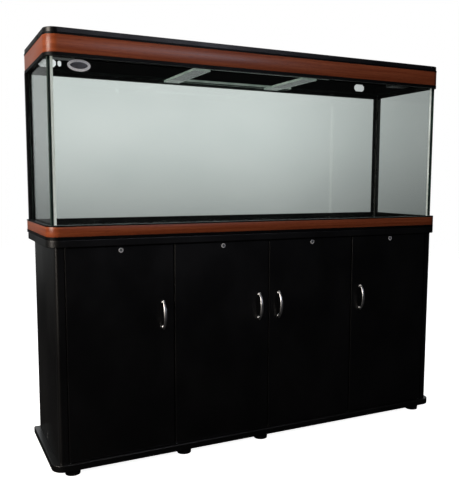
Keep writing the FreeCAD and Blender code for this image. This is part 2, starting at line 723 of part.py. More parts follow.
def long_brace(y_sign):
    """A glass strip along the middle of the front or back pane."""
    near = y_sign * INNER_Y
    far = y_sign * (INNER_Y - BRACE_WIDTH)
    z = GLASS_TOP - BRACE_DROP
    return box(BRACE_SPAN[0], BRACE_SPAN[1], min(near, far), max(near, far), z, z + BRACE_THICKNESS)


def cross_braces():
    """Glass plates glued under the front and rear braces."""
    y = INNER_Y - BRACE_WIDTH + CROSS_BRACE_BITE
    top = GLASS_TOP - BRACE_DROP
    half = CROSS_BRACE_WIDTH / 2
    return [box(x - half, x + half, -y, y, top - BRACE_THICKNESS, top) for x in CROSS_BRACE_XS]


def badge():
    """A blank oval plate on the front pane."""
    centre = FreeCAD.Vector(BADGE_INSET - GLASS_X, -GLASS_Y, GLASS_TOP - BADGE_DROP)
    oval = Part.Ellipse(FreeCAD.Vector(0, 0, 0), BADGE_LENGTH / 2, BADGE_HEIGHT / 2).toShape()
    plate = Part.Face(Part.Wire([oval])).extrude(FreeCAD.Vector(0, 0, BADGE_THICKNESS))
    plate.rotate(FreeCAD.Vector(0, 0, 0), X_AXIS, 90)
    plate.translate(centre)
    return plate


def rim_clip():
    """A clear plastic clip over the top edge of the front pane."""
    left = CLIP_INSET - GLASS_X - CLIP_WIDTH / 2
    inside = -INNER_Y + CLIP_THICKNESS
    bottom = GLASS_TOP - CLIP_HEIGHT
    return box(left, left + CLIP_WIDTH, -INNER_Y, inside, bottom, GLASS_TOP)


# ---- hood ---------------------------------------------------------------------
def hood_radius():
    """Front corner radius of the hood."""
    return frame_radius(HOOD_X, HOOD_Y, BAND_RECESS + GLASS_CLEARANCE + CORNER_WALL)


def hood_core():
    """The hood frame's outline behind the wood-grain band."""
    return HOOD_X - BAND_RECESS, BAND_RECESS - HOOD_Y, HOOD_Y, hood_radius() - BAND_RECESS


def hood_ring(inset, z0, z1):
    """The hood's full outline, drawn in by a distance."""
    radius = max(hood_radius() - inset, 0.0)
    rear = max(REAR_CORNER_RADIUS - inset, 0.0)
    return slab(HOOD_X - inset, inset - HOOD_Y, HOOD_Y - inset, z0, z1, radius, rear)


def rear_hole_xs():
    """Middles of the two hose holes in the hood's back wall."""
    left, right = REAR_HOLE_INSETS
    return left - HOOD_X, HOOD_X - right


def hose_hole(x):
    """The octagonal cutter for a hose hole in the hood's back wall."""
    half_x = REAR_HOLE_WIDTH / 2
    half_z = REAR_HOLE_HEIGHT / 2
    z = HOOD_Z + REAR_HOLE_RISE
    y = HOOD_Y - FRAME_WALL - CUT_MARGIN
    steps = (
        (-half_x, REAR_HOLE_CUT - half_z), (REAR_HOLE_CUT - half_x, -half_z),
        (half_x - REAR_HOLE_CUT, -half_z), (half_x, REAR_HOLE_CUT - half_z),
        (half_x, half_z - REAR_HOLE_CUT), (half_x - REAR_HOLE_CUT, half_z),
        (REAR_HOLE_CUT - half_x, half_z), (-half_x, half_z - REAR_HOLE_CUT),
    )
    points = [(x + dx, y, z + dz) for dx, dz in steps]
    return prism(points, (0, FRAME_WALL + 2 * CUT_MARGIN, 0))


def hinge_spans():
    """The middle knuckle of each lid hinge belongs to the lid, the outer two to the frame."""
    third = LID_HINGE_WIDTH / 3
    lid_spans = []
    frame_spans = []
    for x in LID_HINGE_XS:
        left = x - LID_HINGE_WIDTH / 2
        frame_spans.append((left, left + third - KNUCKLE_GAP / 2))
        lid_spans.append((left + third + KNUCKLE_GAP / 2, left + 2 * third - KNUCKLE_GAP / 2))
        frame_spans.append((left + 2 * third + KNUCKLE_GAP / 2, left + LID_HINGE_WIDTH))
    return lid_spans, frame_spans


def lid_knuckles(spans):
    """Hinge knuckles behind the hood's back wall."""
    made = []
    for start, end in spans:
        made.append(rod((start, LID_HINGE_Y, LID_HINGE_Z), LID_HINGE_RADIUS, end - start, X_AXIS))
    return made


def lid_hinge_notch(spans):
    """Room round the knuckles of the other side."""
    radius = LID_HINGE_RADIUS + LID_NOTCH_CLEARANCE
    made = []
    for start, end in spans:
        low = start - KNUCKLE_GAP / 2
        high = end + KNUCKLE_GAP / 2
        made.append(rod((low, LID_HINGE_Y, LID_HINGE_Z), radius, high - low, X_AXIS))
    return made


def lid_hinge_bores(radius):
    """Straight cutters for the lid hinge pins."""
    made = []
    for x in LID_HINGE_XS:
        place = (x - LID_HINGE_WIDTH / 2, LID_HINGE_Y, LID_HINGE_Z)
        made.append(rod(place, radius, LID_HINGE_WIDTH, X_AXIS))
    return made


def cable_hole():
    """The oval cutter for the lamp cable's hole beside the left hose hole."""
    x = CABLE_HOLE_INSET - HOOD_X
    z = HOOD_Z + REAR_HOLE_RISE
    y = HOOD_Y - FRAME_WALL - CUT_MARGIN
    depth = FRAME_WALL + 2 * CUT_MARGIN
    radius = CABLE_HOLE_WIDTH / 2
    rise = CABLE_HOLE_HEIGHT / 2 - radius
    ends = [rod((x, y, z - rise), radius, depth, Y_AXIS), rod((x, y, z + rise), radius, depth, Y_AXIS)]
    return join(ends + [box(x - radius, x + radius, y, y + depth, z - rise, z + rise)])


def hood_frame():
    """The hood's frame: skirt, band seat, ledge over the glass and the rim under the lids."""
    core_x, core_front, core_back, core_radius = hood_core()
    core = slab(core_x, core_front, core_back, HOOD_Z, RIM_TOP, core_radius, REAR_CORNER_RADIUS)
    lip = hood_ring(0, HOOD_Z, HOOD_BAND_Z)
    rim = hood_ring(0, HOOD_RIM_Z, RIM_TOP)
    frame = join([core, lip, rim])
    collar_x = GLASS_X + GLASS_CLEARANCE
    collar_y = GLASS_Y + GLASS_CLEARANCE
    wall = BAND_RECESS + FRAME_WALL
    flange_top = HOOD_Z + FRAME_WALL
    ledge_top = GLASS_TOP + FRAME_WALL
    frame = frame.cut(slab(collar_x, -collar_y, collar_y, HOOD_Z - CUT_MARGIN, GLASS_TOP))
    below = slab(
        core_x - FRAME_WALL, core_front + FRAME_WALL, core_back - FRAME_WALL,
        flange_top, GLASS_TOP, hood_radius() - wall, 0,
    )
    above = slab(
        core_x - FRAME_WALL, core_front + FRAME_WALL, core_back - FRAME_WALL,
        ledge_top, HOOD_RIM_Z, hood_radius() - wall, 0,
    )
    ledge_x = INNER_X - HOOD_LEDGE_WIDTH
    ledge_y = INNER_Y - HOOD_LEDGE_WIDTH
    well = slab(ledge_x, -ledge_y, ledge_y, GLASS_TOP, ledge_top)
    mouth = hood_ring(HOOD_RIM_WIDTH, HOOD_RIM_Z, RIM_TOP + CUT_MARGIN)
    frame = frame.cut(below).cut(above).cut(well).cut(mouth)
    for x in rear_hole_xs():
        frame = frame.cut(hose_hole(x))
    frame = frame.cut(cable_hole())
    lid_spans, frame_spans = hinge_spans()
    frame = frame.cut(Part.Compound(lid_hinge_notch(lid_spans)))
    frame = join([frame] + lid_knuckles(frame_spans))
    return frame.cut(Part.Compound(lid_hinge_bores(LID_HINGE_PIN_RADIUS)))


def lid_pads():
    """Soft pads on the rim that the lids rest on."""
    inset = HOOD_RIM_WIDTH / 2
    start = PAD_INSET - HOOD_X
    pitch = -2 * start / (PAD_COUNT - 1)
    places = [(start + number * pitch, inset - HOOD_Y) for number in range(PAD_COUNT)]
    places += [(side * (HOOD_X - inset), 0) for side in (-1, 1)]
    return [rod((x, y, RIM_TOP), PAD_RADIUS, LID_GAP, Z_AXIS) for x, y in places]


def flap_knuckle_spans():
    """Spans of the long hinge's knuckles, first and last on the flap."""
    start = LID_INSET - HOOD_X + CORNER_RADIUS
    pitch = -2 * start / FLAP_KNUCKLES
    spans = []
    for number in range(FLAP_KNUCKLES):
        left = start + number * pitch + KNUCKLE_GAP / 2
        spans.append((left, left + pitch - KNUCKLE_GAP))
    return spans


def flap_knuckle(span, tab_end):
    """One knuckle and the tab that joins it to a lid's skin."""
    start, end = span
    place = (start, FLAP_HINGE_Y, FLAP_HINGE_Z)
    barrel = rod(place, FLAP_HINGE_RADIUS, end - start, X_AXIS)
    low = min(FLAP_HINGE_Y, tab_end)
    high = max(FLAP_HINGE_Y, tab_end)
    tab = box(start, end, low, high, LID_TOP - LID_SKIN, LID_TOP)
    bore = rod(place, FLAP_HINGE_PIN_RADIUS + HINGE_CLEARANCE, end - start, X_AXIS)
    return join([barrel, tab]).cut(bore)


def lid_shell(front, back, open_front, open_back):
    """A shallow shell with the hood's rounded outline between two depths."""
    whole = hood_ring(LID_INSET, LID_Z, LID_TOP)
    whole = soften(whole, (LID_TOP,), LID_SKIN / 2)
    hollow = hood_ring(LID_INSET + LID_SKIN, LID_Z - CUT_MARGIN, LID_TOP - LID_SKIN)
    inner_front = front if open_front else front + LID_SKIN
    inner_back = back if open_back else back - LID_SKIN
    span = box(-HOOD_X, HOOD_X, front, back, LID_Z, LID_TOP)
    room = box(-HOOD_X, HOOD_X, inner_front, inner_back, LID_Z - CUT_MARGIN, LID_TOP)
    return whole.common(span).cut(hollow.common(room))


def front_flap():
    """The feeding flap, hinged along its back edge."""
    back = FLAP_HINGE_Y - FLAP_EDGE
    shell = lid_shell(-HOOD_Y, back, False, True)
    knuckles = [flap_knuckle(span, back) for span in flap_knuckle_spans()[0::2]]
    return join([shell] + knuckles)


def rear_lid():
    """The service lid, hinged on the hood's back wall and carrying the flap."""
    front = FLAP_HINGE_Y + LID_EDGE
    shell = lid_shell(front, HOOD_Y, True, False)
    rib_front = FLAP_HINGE_Y + LID_SKIRT_SETBACK
    rib_x = HOOD_X - LID_INSET - LID_SKIN
    rib = box(-rib_x, rib_x, rib_front, rib_front + LID_SKIN, LID_Z, LID_TOP - LID_SKIN)
    knuckles = [flap_knuckle(span, front) for span in flap_knuckle_spans()[1::2]]
    lid_spans, frame_spans = hinge_spans()
    shell = shell.cut(Part.Compound(lid_hinge_notch(frame_spans)))
    lid = join([shell, rib] + knuckles + lid_knuckles(lid_spans))
    bores = lid_hinge_bores(LID_HINGE_PIN_RADIUS + HINGE_CLEARANCE)
    return lid.cut(Part.Compound(bores))


def flap_hinge_pin():
    """The long wire that joins the flap to the rear lid."""
    spans = flap_knuckle_spans()
    start = spans[0][0]
    place = (start, FLAP_HINGE_Y, FLAP_HINGE_Z)
    return rod(place, FLAP_HINGE_PIN_RADIUS, spans[-1][1] - start, X_AXIS)


# ---- lamp ---------------------------------------------------------------------
def lamp_housing():
    """A trough, open downwards, closed at both ends."""
    y0 = LAMP_Y - LAMP_WIDTH / 2
    y1 = LAMP_Y + LAMP_WIDTH / 2
    top = LAMP_Z + LAMP_HEIGHT
    outer = box(-LAMP_X, LAMP_X, y0, y1, LAMP_Z, top)
    inner_x = LAMP_X - LAMP_WALL
    return outer.cut(
        box(-inner_x, inner_x, y0 + LAMP_WALL, y1 - LAMP_WALL, LAMP_Z, top - LAMP_WALL)
    )


def lamp_cover():
    """The clear splash cover set in the trough's mouth."""
    x = LAMP_X - LAMP_WALL
    y = LAMP_WIDTH / 2 - LAMP_WALL
    return box(-x, x, LAMP_Y - y, LAMP_Y + y, LAMP_Z, LAMP_Z + COVER_THICKNESS)


def lamp_room():
    """Height of the room between the splash cover and the trough's roof."""
    return LAMP_HEIGHT - LAMP_WALL - COVER_THICKNESS


def tube_places():
    """Depth and height of each tube's axis."""
    z = LAMP_Z + COVER_THICKNESS + lamp_room() / 2
    return [(LAMP_Y + side * TUBE_SPACING / 2, z) for side in (-1, 1)]


def lamp_tubes():
    """Two straight lamp tubes between their holders."""
    half = LAMP_X - LAMP_WALL - TUBE_END
    radius = min(TUBE_RADIUS, lamp_room() / 2)
    return [rod((-half, y, z), radius, 2 * half, X_AXIS) for y, z in tube_places()]


def lamp_holders():
    """End blocks that the tubes plug into, one pair at each end."""
    end = LAMP_X - LAMP_WALL
    radius = min(TUBE_RADIUS, lamp_room() / 2)
    low = LAMP_Z + COVER_THICKNESS
    high = low + lamp_room()
    made = []
    for y, _ in tube_places():
        for start in (-end, end - TUBE_END):
            made.append(box(start, start + TUBE_END, y - radius, y + radius, low, high))
    return made


def lamp_brackets():
    """Angle brackets from the lamp's ends down to the hood's ledge."""
    seat = GLASS_TOP + FRAME_WALL
    half = LAMP_BRACKET_WIDTH / 2
    top = LAMP_Z + LAMP_HEIGHT
    y0 = LAMP_Y - half
    y1 = LAMP_Y + half
    upright = box(LAMP_X, LAMP_X + LAMP_BRACKET_THICKNESS, y0, y1, seat, top)
    foot = box(LAMP_X, INNER_X, y0, y1, seat, seat + LAMP_BRACKET_THICKNESS)
    bracket = join([upright, foot])
    return [bracket, mirror(bracket)]


# ---- the whole object -----------------------------------------------------------
def main():
    """Write every node."""
    os.makedirs("parts", exist_ok=True)
    write("base_plate", base_plate())
    write("feet", feet())
    write("foot_screws", foot_screws())
    write("side_panel_left", side_panel())
    write("side_panel_right", mirror(side_panel()))
    write("front_stile_left", front_stile())
    write("front_stile_right", mirror(front_stile()))
    for name, x in zip(("left", "centre", "right"), partition_xs()):
        write("partition_" + name, partition(x))
    write("back_panel", back_panel())
    write("top_board", top_board())
    write("side_caps", side_caps())
    write("door_pivot_pins", door_pivot_pins())
    write("lock_keepers", lock_keepers())
    for number, name in enumerate(DOOR_NAMES):
        write("door_" + name, door(number))
        write("handle_" + name, handle(number))
        write("lock_barrel_" + name, lock_barrel(number))
        write("lock_cam_" + name, lock_cam(number))
    write("tank_base_frame", tank_base_frame())
    write("base_band", band(base_core(), BASE_BAND_Z, BASE_TOP_LIP_Z))
    write("tank_mat", tank_mat())
    write("floor_glass", floor_pane())
    write("front_glass", long_pane(-GLASS_Y, -INNER_Y))
    write("back_glass", long_pane(INNER_Y, GLASS_Y))
    write("left_glass", end_pane(-GLASS_X, -INNER_X))
    write("right_glass", end_pane(INNER_X, GLASS_X))
    write("front_seams", [corner_bead(side, -1) for side in (-1, 1)])
    write("rear_seams", [corner_bead(side, 1) for side in (-1, 1)])
    write("floor_seam", floor_seam())
    write("rear_corner_posts", [corner_post(), mirror(corner_post())])
    write("front_brace", long_brace(-1))
    write("rear_brace", long_brace(1))
    write("cross_braces", cross_braces())
    write("badge", badge())
    write("rim_clip", rim_clip())
    write("hood_frame", hood_frame())
    write("hood_band", band(hood_core(), HOOD_BAND_Z, HOOD_RIM_Z))
    write("lid_pads", lid_pads())
    write("front_flap", front_flap())
    write("rear_lid", rear_lid())
    write("flap_hinge_pin", flap_hinge_pin())
    write("lid_hinge_pins", lid_hinge_bores(LID_HINGE_PIN_RADIUS))
    write("lamp_housing", lamp_housing())
    write("lamp_cover", lamp_cover())
    write("lamp_tubes", lamp_tubes())
    write("lamp_holders", lamp_holders())
    write("lamp_brackets", lamp_brackets())


main()
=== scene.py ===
import logging
import math
from dataclasses import dataclass, field
from enum import Enum
from typing import ClassVar

import bmesh
import bpy
from mathutils import Matrix, Vector


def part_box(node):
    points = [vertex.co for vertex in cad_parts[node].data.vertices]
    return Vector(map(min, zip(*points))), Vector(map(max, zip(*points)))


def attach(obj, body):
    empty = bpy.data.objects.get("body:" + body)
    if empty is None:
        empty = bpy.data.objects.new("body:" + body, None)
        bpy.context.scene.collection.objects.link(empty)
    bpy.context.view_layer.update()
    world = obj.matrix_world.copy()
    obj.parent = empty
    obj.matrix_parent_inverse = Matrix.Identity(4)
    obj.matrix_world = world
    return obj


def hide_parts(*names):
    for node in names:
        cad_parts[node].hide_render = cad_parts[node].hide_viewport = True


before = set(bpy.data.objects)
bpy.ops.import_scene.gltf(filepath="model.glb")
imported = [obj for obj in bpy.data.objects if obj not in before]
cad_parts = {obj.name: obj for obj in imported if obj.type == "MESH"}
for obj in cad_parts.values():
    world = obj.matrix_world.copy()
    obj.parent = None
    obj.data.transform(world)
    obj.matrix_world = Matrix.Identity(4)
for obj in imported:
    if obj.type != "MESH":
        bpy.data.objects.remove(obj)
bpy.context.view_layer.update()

MM = 0.001                        # metres
WELD = 0.01 * MM                  # corners closer than this become one
SHARP_ANGLE = math.radians(32)    # edges that turn more than this stay sharp
BROAD_FACE = 0.9                  # least share of a normal along the thin side of a board
TURN_STEPS = 32                   # facets round a turned part
PATTERN_LOW = 0.32                # where nearly all of a noise pattern's dark parts lie
PATTERN_HIGH = 0.68               # where nearly all of its light parts lie
PATTERN_ROUGHNESS = 0.55          # how strong the finer layers of a pattern are
MIX_A = 6                         # the colour sockets of a mix node
MIX_B = 7
MIX_RESULT = 2
LOG = logging.getLogger("aquarium")

Socket = bpy.types.NodeSocket
Tree = bpy.types.NodeTree
Triple = tuple[float, float, float]
Profile = list[tuple[float, float]]


class Door(Enum):
    """The four cabinet doors, by the body that each one is."""

    OUTER_LEFT = "outer_left"
    INNER_LEFT = "inner_left"
    INNER_RIGHT = "inner_right"
    OUTER_RIGHT = "outer_right"

    @property
    def body(self) -> str:
        """The CAD body of this door."""
        return "door_" + self.value


class EdgeWork(Enum):
    """How the rim of a glass pane was worked: deep colour, light colour, roughness, painted glow (an
    emission that stands in for light).
    """

    # Seamed rims have a faint painted glow. Polished rims are pale and glow: painted light on the braces'
    # edges, which the lamps barely reach under the hood.
    SEAMED = ("#0B1E18", "#1B3A31", 0.55, 0.02)
    POLISHED = ("#8FA39A", "#C2D0C8", 0.15, 0.3)


def linear(code: str) -> tuple[float, float, float, float]:
    """Turns an sRGB hex colour into a linear colour.

    Args:
        code: Six hex digits after a number sign.

    Returns:
        Linear red, green, blue and an alpha of one.
    """
    shares = [int(code[i:i + 2], 16) / 255 for i in (1, 3, 5)]
    made = [s / 12.92 if s <= 0.04045 else ((s + 0.055) / 1.055) ** 2.4 for s in shares]
    return made[0], made[1], made[2], 1.0


def add_node(
    tree: Tree,
    kind: str,
    settings: dict[str, object] | None = None,
    inputs: dict[str | int, object] | None = None,
) -> bpy.types.Node:
    """Adds a node with its settings, its values and its links.

    Args:
        tree: The node tree that gets it.
        kind: Blender's name for the kind of node.
        settings: Properties of the node itself.
        inputs: Values, or the sockets to link from, by socket name or number.

    Returns:
        The new node.
    """
    node = tree.nodes.new(kind)
    for name, value in (settings or {}).items():
        setattr(node, name, value)
    for name, value in (inputs or {}).items():
        if isinstance(value, Socket):
            tree.links.new(value, node.inputs[name])
        else:
            node.inputs[name].default_value = value
    return node


def pattern(tree: Tree, sizes: Triple, detail: float, source: str = "Object") -> Socket:
    """Soft random shades, as large as given along each axis.

    Args:
        tree: The node tree.
        sizes: Length of one shade along X, Y and Z in millimetres.
        detail: How many finer layers the shades have.
        source: Object coordinates or the piece's own UV map.

    Returns:
        A value from 0 to 1.
    """
    place = add_node(tree, "ShaderNodeTexCoord")
    scale = tuple(1 / (size * MM) for size in sizes)
    spread = add_node(
        tree, "ShaderNodeMapping", None, {"Vector": place.outputs[source], "Scale": scale}
    )
    shades = add_node(
        tree,
        "ShaderNodeTexNoise",
        None,
        {
            "Vector": spread.outputs["Vector"],
            "Scale": 1.0,
            "Detail": detail,
            "Roughness": PATTERN_ROUGHNESS,
        },
    )
    return shades.outputs["Fac"]


def mottled(tree: Tree, sizes: Triple, detail: float, source: str = "Object") -> Socket:
    """The same shades with their middle range stretched, so that both ends are reached.

    Args:
        tree: The node tree.
        sizes: Length of one shade along X, Y and Z in millimetres.
        detail: How many finer layers the shades have.
        source: Object coordinates or the piece's own UV map.

    Returns:
        A value from 0 to 1.
    """
    stretched = add_node(
        tree,
        "ShaderNodeMapRange",
        None,
        {
            "Value": pattern(tree, sizes, detail, source),
            "From Min": PATTERN_LOW,
            "From Max": PATTERN_HIGH,
        },
    )
    return stretched.outputs["Result"]


@dataclass(frozen=True)
class Finish:
    """A surface finish, named for what it is made of and how."""

    name: str

    def shader(self, tree: Tree) -> Socket:
        """The surface shader of this finish."""
        raise NotImplementedError

    def material(self) -> bpy.types.Material:
        """Gives the material of this finish, and makes it the first time.

        Returns:
            The material.
        """
        found = bpy.data.materials.get(self.name)
        if found:
            return found
        made = bpy.data.materials.new(self.name)
        made.use_nodes = True
        made.node_tree.nodes.clear()
        surface = self.shader(made.node_tree)
        add_node(made.node_tree, "ShaderNodeOutputMaterial", None, {"Surface": surface})
        return made


@dataclass(frozen=True)
class SolidFinish(Finish):
    """A finish with a mottled colour, an uneven gloss and a fine relief.

    Its painted glow is an emission in its own colour that stands in for light, so that a part glows though
    it is no lamp.
    """

    deep: str
    light: str
    roughness: float
    mottle: Triple
    grain: Triple
    relief: float
    uneven: float = 0.05
    metallic: float = 0.0
    ior: float = 1.5
    coat: float = 0.0
    clear: float = 0.0
    painted_glow: float = 0.0
    coat_roughness: ClassVar[float] = 0.08
    relief_strength: ClassVar[float] = 0.6

    def shader(self, tree: Tree) -> Socket:
        """Colour, gloss and relief from two patterns of real sizes.

        Args:
            tree: The material's node tree.

        Returns:
            The shader.
        """
        mottle = mottled(tree, self.mottle, 3.0)
        grain = pattern(tree, self.grain, 2.0)
        colour = add_node(
            tree,
            "ShaderNodeMix",
            {"data_type": "RGBA"},
            {0: mottle, MIX_A: linear(self.deep), MIX_B: linear(self.light)},
        )
        gloss = add_node(
            tree,
            "ShaderNodeMapRange",
            None,
            {
                "Value": mottle,
                "To Min": self.roughness - self.uneven,
                "To Max": self.roughness + self.uneven,
            },
        )
        relief = add_node(
            tree,
            "ShaderNodeBump",
            None,
            {"Height": grain, "Distance": self.relief * MM, "Strength": self.relief_strength},
        )
        surface = add_node(
            tree,
            "ShaderNodeBsdfPrincipled",
            None,
            {
                "Base Color": colour.outputs[MIX_RESULT],
                "Metallic": self.metallic,
                "Roughness": gloss.outputs["Result"],
                "IOR": self.ior,
                "Coat Weight": self.coat,
                "Coat Roughness": self.coat_roughness,
                "Transmission Weight": self.clear,
                # painted glow: emission in the finish's own colour, which stands in for light falling on
                # the part
                "Emission Color": colour.outputs[MIX_RESULT],
                "Emission Strength": self.painted_glow,
                "Normal": relief.outputs["Normal"],
            },
        )
        return surface.outputs["BSDF"]


@dataclass(frozen=True)
class WoodFoil(Finish):
    """Printed wood-grain foil under a clear lacquer, whose grain runs along the band.

    Nothing varies along the depth, because a UV map has no third axis.
    """

    deep: str
    middle: str
    light: str
    figure_length: float = 320.0
    figure_height: float = 7.0
    depth: float = 1000.0
    pore_length: float = 26.0
    pore_height: float = 0.9
    pore_depth: float = 0.03
    pore_start: float = 0.52
    pore_full: float = 0.72
    pore_darkness: float = 0.75
    pore_strength: float = 0.5
    roughness_low: float = 0.28
    roughness_high: float = 0.37
    ior: float = 1.45

    def shader(self, tree: Tree) -> Socket:
        """Long streaks and short pores on the band's own UV map.

        Args:
            tree: The material's node tree.

        Returns:
            The shader.
        """
        figure = mottled(tree, (self.figure_length, self.figure_height, self.depth), 4.0, "UV")
        pores = pattern(tree, (self.pore_length, self.pore_height, self.depth), 2.0, "UV")
        ground = add_node(
            tree,
            "ShaderNodeMix",
            {"data_type": "RGBA"},
            {0: figure, MIX_A: linear(self.middle), MIX_B: linear(self.light)},
        )
        dark = add_node(
            tree,
            "ShaderNodeMapRange",
            None,
            {
                "Value": pores,
                "From Min": self.pore_start,
                "From Max": self.pore_full,
                "To Max": self.pore_darkness,
            },
        )
        colour = add_node(
            tree,
            "ShaderNodeMix",
            {"data_type": "RGBA"},
            {0: dark.outputs["Result"], MIX_A: ground.outputs[MIX_RESULT], MIX_B: linear(self.deep)},
        )
        relief = add_node(
            tree,
            "ShaderNodeBump",
            {"invert": True},
            {"Height": pores, "Distance": self.pore_depth * MM, "Strength": self.pore_strength},
        )
        gloss = add_node(
            tree,
            "ShaderNodeMapRange",
            None,
            {"Value": figure, "To Min": self.roughness_low, "To Max": self.roughness_high},
        )
        surface = add_node(
            tree,
            "ShaderNodeBsdfPrincipled",
            None,
            {
                "Base Color": colour.outputs[MIX_RESULT],
                "Roughness": gloss.outputs["Result"],
                "IOR": self.ior,
                "Normal": relief.outputs["Normal"],
            },
        )
        return surface.outputs["BSDF"]


@dataclass(frozen=True)
class ClearPane(Finish):
    """A clear sheet that the studio's lamps shine through without a dark shadow."""

    tint: str
    pale: str
    ior: float
    roughness: float = 0.0
    film: ClassVar[Triple] = (420.0, 420.0, 260.0)

    def shader(self, tree: Tree) -> Socket:
        """A refracting body, and a plain tint where only a shadow is asked for.

        Args:
            tree: The material's node tree.

        Returns:
            The shader.
        """
        film = mottled(tree, self.film, 2.0)
        colour = add_node(
            tree,
            "ShaderNodeMix",
            {"data_type": "RGBA"},
            {0: film, MIX_A: linear(self.tint), MIX_B: linear(self.pale)},
        )
        body = add_node(
            tree,
            "ShaderNodeBsdfPrincipled",
            None,
            {
                "Base Color": colour.outputs[MIX_RESULT],
                "Roughness": self.roughness,
                "IOR": self.ior,
                "Transmission Weight": 1.0,
            },
        )
        lamp = add_node(
            tree, "ShaderNodeBsdfTransparent", None, {"Color": colour.outputs[MIX_RESULT]}
        )
        path = add_node(tree, "ShaderNodeLightPath")
        mixed = add_node(
            tree,
            "ShaderNodeMixShader",
            None,
            {0: path.outputs["Is Shadow Ray"], 1: body.outputs["BSDF"], 2: lamp.outputs["BSDF"]},
        )
        return mixed.outputs["Shader"]


# The fine grains below are drawn coarser than the real ones, which would be too fine to show.

# Melamine-faced chipboard, pressed with a satin plate: a deep black with a soft, even sheen.
BLACK_BOARD = SolidFinish(
    "melamine-faced board, satin black", "#020203", "#050506", 0.36,
    (180.0, 180.0, 260.0), (0.9, 0.9, 0.9), 0.012, ior=1.6,
)
# Extruded ABS edging, glossier than the faces beside it: shows as a thin brighter line.
BLACK_EDGING = SolidFinish(
    "ABS edging, gloss black", "#060607", "#0C0C0E", 0.22,
    (60.0, 60.0, 90.0), (3.0, 3.0, 14.0), 0.01,
)
# Injection-moulded ABS from an etched mould: black, with only wide, weak highlights.
FRAME_PLASTIC = SolidFinish(
    "moulded ABS, satin black", "#050506", "#09090B", 0.46,
    (90.0, 90.0, 60.0), (1.6, 1.6, 1.6), 0.01, ior=1.22,
)
# Moulded ABS from a textured mould: a fine leathery grain that dulls the lids.
LID_PLASTIC = SolidFinish(
    "moulded ABS, fine-textured black", "#050507", "#0B0B0E", 0.36,
    (120.0, 120.0, 60.0), (1.2, 1.2, 1.2), 0.05, ior=1.42,
)
# Moulded polypropylene: a waxy dark grey-black.
FOOT_PLASTIC = SolidFinish(
    "moulded polypropylene, matt black", "#0B0B0C", "#17171A", 0.5,
    (9.0, 9.0, 9.0), (0.8, 0.8, 0.8), 0.04,
)
# Moulded nylon, dyed through: satin dark grey.
CAP_PLASTIC = SolidFinish(
    "moulded nylon, satin grey", "#55585A", "#6E7173", 0.4,
    (7.0, 7.0, 7.0), (0.7, 0.7, 0.7), 0.02,
)
# Die-cut EVA rubber: dull and slightly pitted.
PAD_RUBBER = SolidFinish(
    "EVA rubber, matt black", "#0E0E0F", "#1B1B1D", 0.75,
    (4.0, 4.0, 4.0), (0.6, 0.6, 0.6), 0.06,
)
# Cut polyethylene foam, dyed black: dull, with open cells along the cut.
MAT_FOAM = SolidFinish(
    "polyethylene foam, cut black", "#121213", "#232326", 0.85,
    (3.0, 3.0, 3.0), (1.0, 1.0, 1.0), 0.25,
)
# Zinc-plated steel with a blue passivation: a cool, cloudy metal.
ZINC_STEEL = SolidFinish(
    "zinc-plated steel, blue passivated", "#9DA3A8", "#C3C8CB", 0.3,
    (3.0, 3.0, 3.0), (0.5, 0.5, 0.5), 0.01, metallic=1.0,
)
# Satin chrome plate over cast zinc: blurred, even reflections, so a bow shines over its whole length.
CHROME = SolidFinish(
    "chrome plate, satin", "#D3D6D9", "#ECEDEF", 0.36,
    (14.0, 14.0, 14.0), (2.0, 2.0, 2.0), 0.004, metallic=1.0,
)
# Rolled and anodised aluminium: lines along the housing and a soft white sheen.
ALUMINIUM = SolidFinish(
    "anodised aluminium, brushed", "#A7AAAC", "#C8CACB", 0.34,
    (400.0, 3.0, 3.0), (160.0, 0.5, 0.5), 0.01, metallic=1.0,
)
# Fluorescent tube glass with white powder inside: a milky white under a clear gloss.
TUBE_GLASS = SolidFinish(
    "powder-coated tube glass, white", "#E3E5E1", "#F4F5F1", 0.16,
    (90.0, 12.0, 12.0), (30.0, 9.0, 9.0), 0.004, coat=1.0,
)
# Neutral-cure silicone, tooled by hand: milky and rubbery with slow ripples along the bead.
CLEAR_SILICONE = SolidFinish(
    "silicone bead, translucent", "#D9DCD4", "#F2F4EE", 0.3,
    (14.0, 14.0, 60.0), (6.0, 6.0, 22.0), 0.5, ior=1.41, clear=0.25,
)
# The same silicone where it runs up a corner of the glass, with a painted glow: its emission paints the
# highlight along the front corners.
PAINTED_GLOW_SILICONE = SolidFinish(
    "silicone bead, translucent, lit by the glass", "#C9CCC3", "#F2F4EE", 0.3,
    (14.0, 14.0, 160.0), (6.0, 6.0, 22.0), 0.5, ior=1.41, clear=0.1, painted_glow=0.32,
)
# Black silicone, tooled by hand: glossy, with the same ripples.
BLACK_SILICONE = SolidFinish(
    "silicone bead, black", "#0A0B0C", "#191B1C", 0.28,
    (12.0, 12.0, 50.0), (6.0, 6.0, 20.0), 0.5, ior=1.41,
)
# Printed vinyl over a domed label: black field.
BADGE_FIELD = SolidFinish(
    "printed vinyl label, black", "#0C0D10", "#17181C", 0.2,
    (8.0, 8.0, 8.0), (0.5, 0.5, 0.5), 0.005, coat=1.0,
)
# Hot-stamped foil ring on the label: pale silver.
BADGE_RING = SolidFinish(
    "hot-stamped foil, silver", "#DCE0E3", "#F6F8FA", 0.4,
    (5.0, 5.0, 5.0), (0.6, 0.6, 0.6), 0.01, metallic=0.1,
)
# Bead-blasted nickel plate on the lock rings: almost white and barely metallic, a painted highlight that
# makes the shaded rings bright from every side.
NICKEL_PAINTED_HIGHLIGHT = SolidFinish(
    "nickel plate, bead-blasted", "#F1F3F5", "#FDFDFE", 0.5,
    (3.0, 3.0, 3.0), (0.4, 0.4, 0.4), 0.02, metallic=0.1,
)
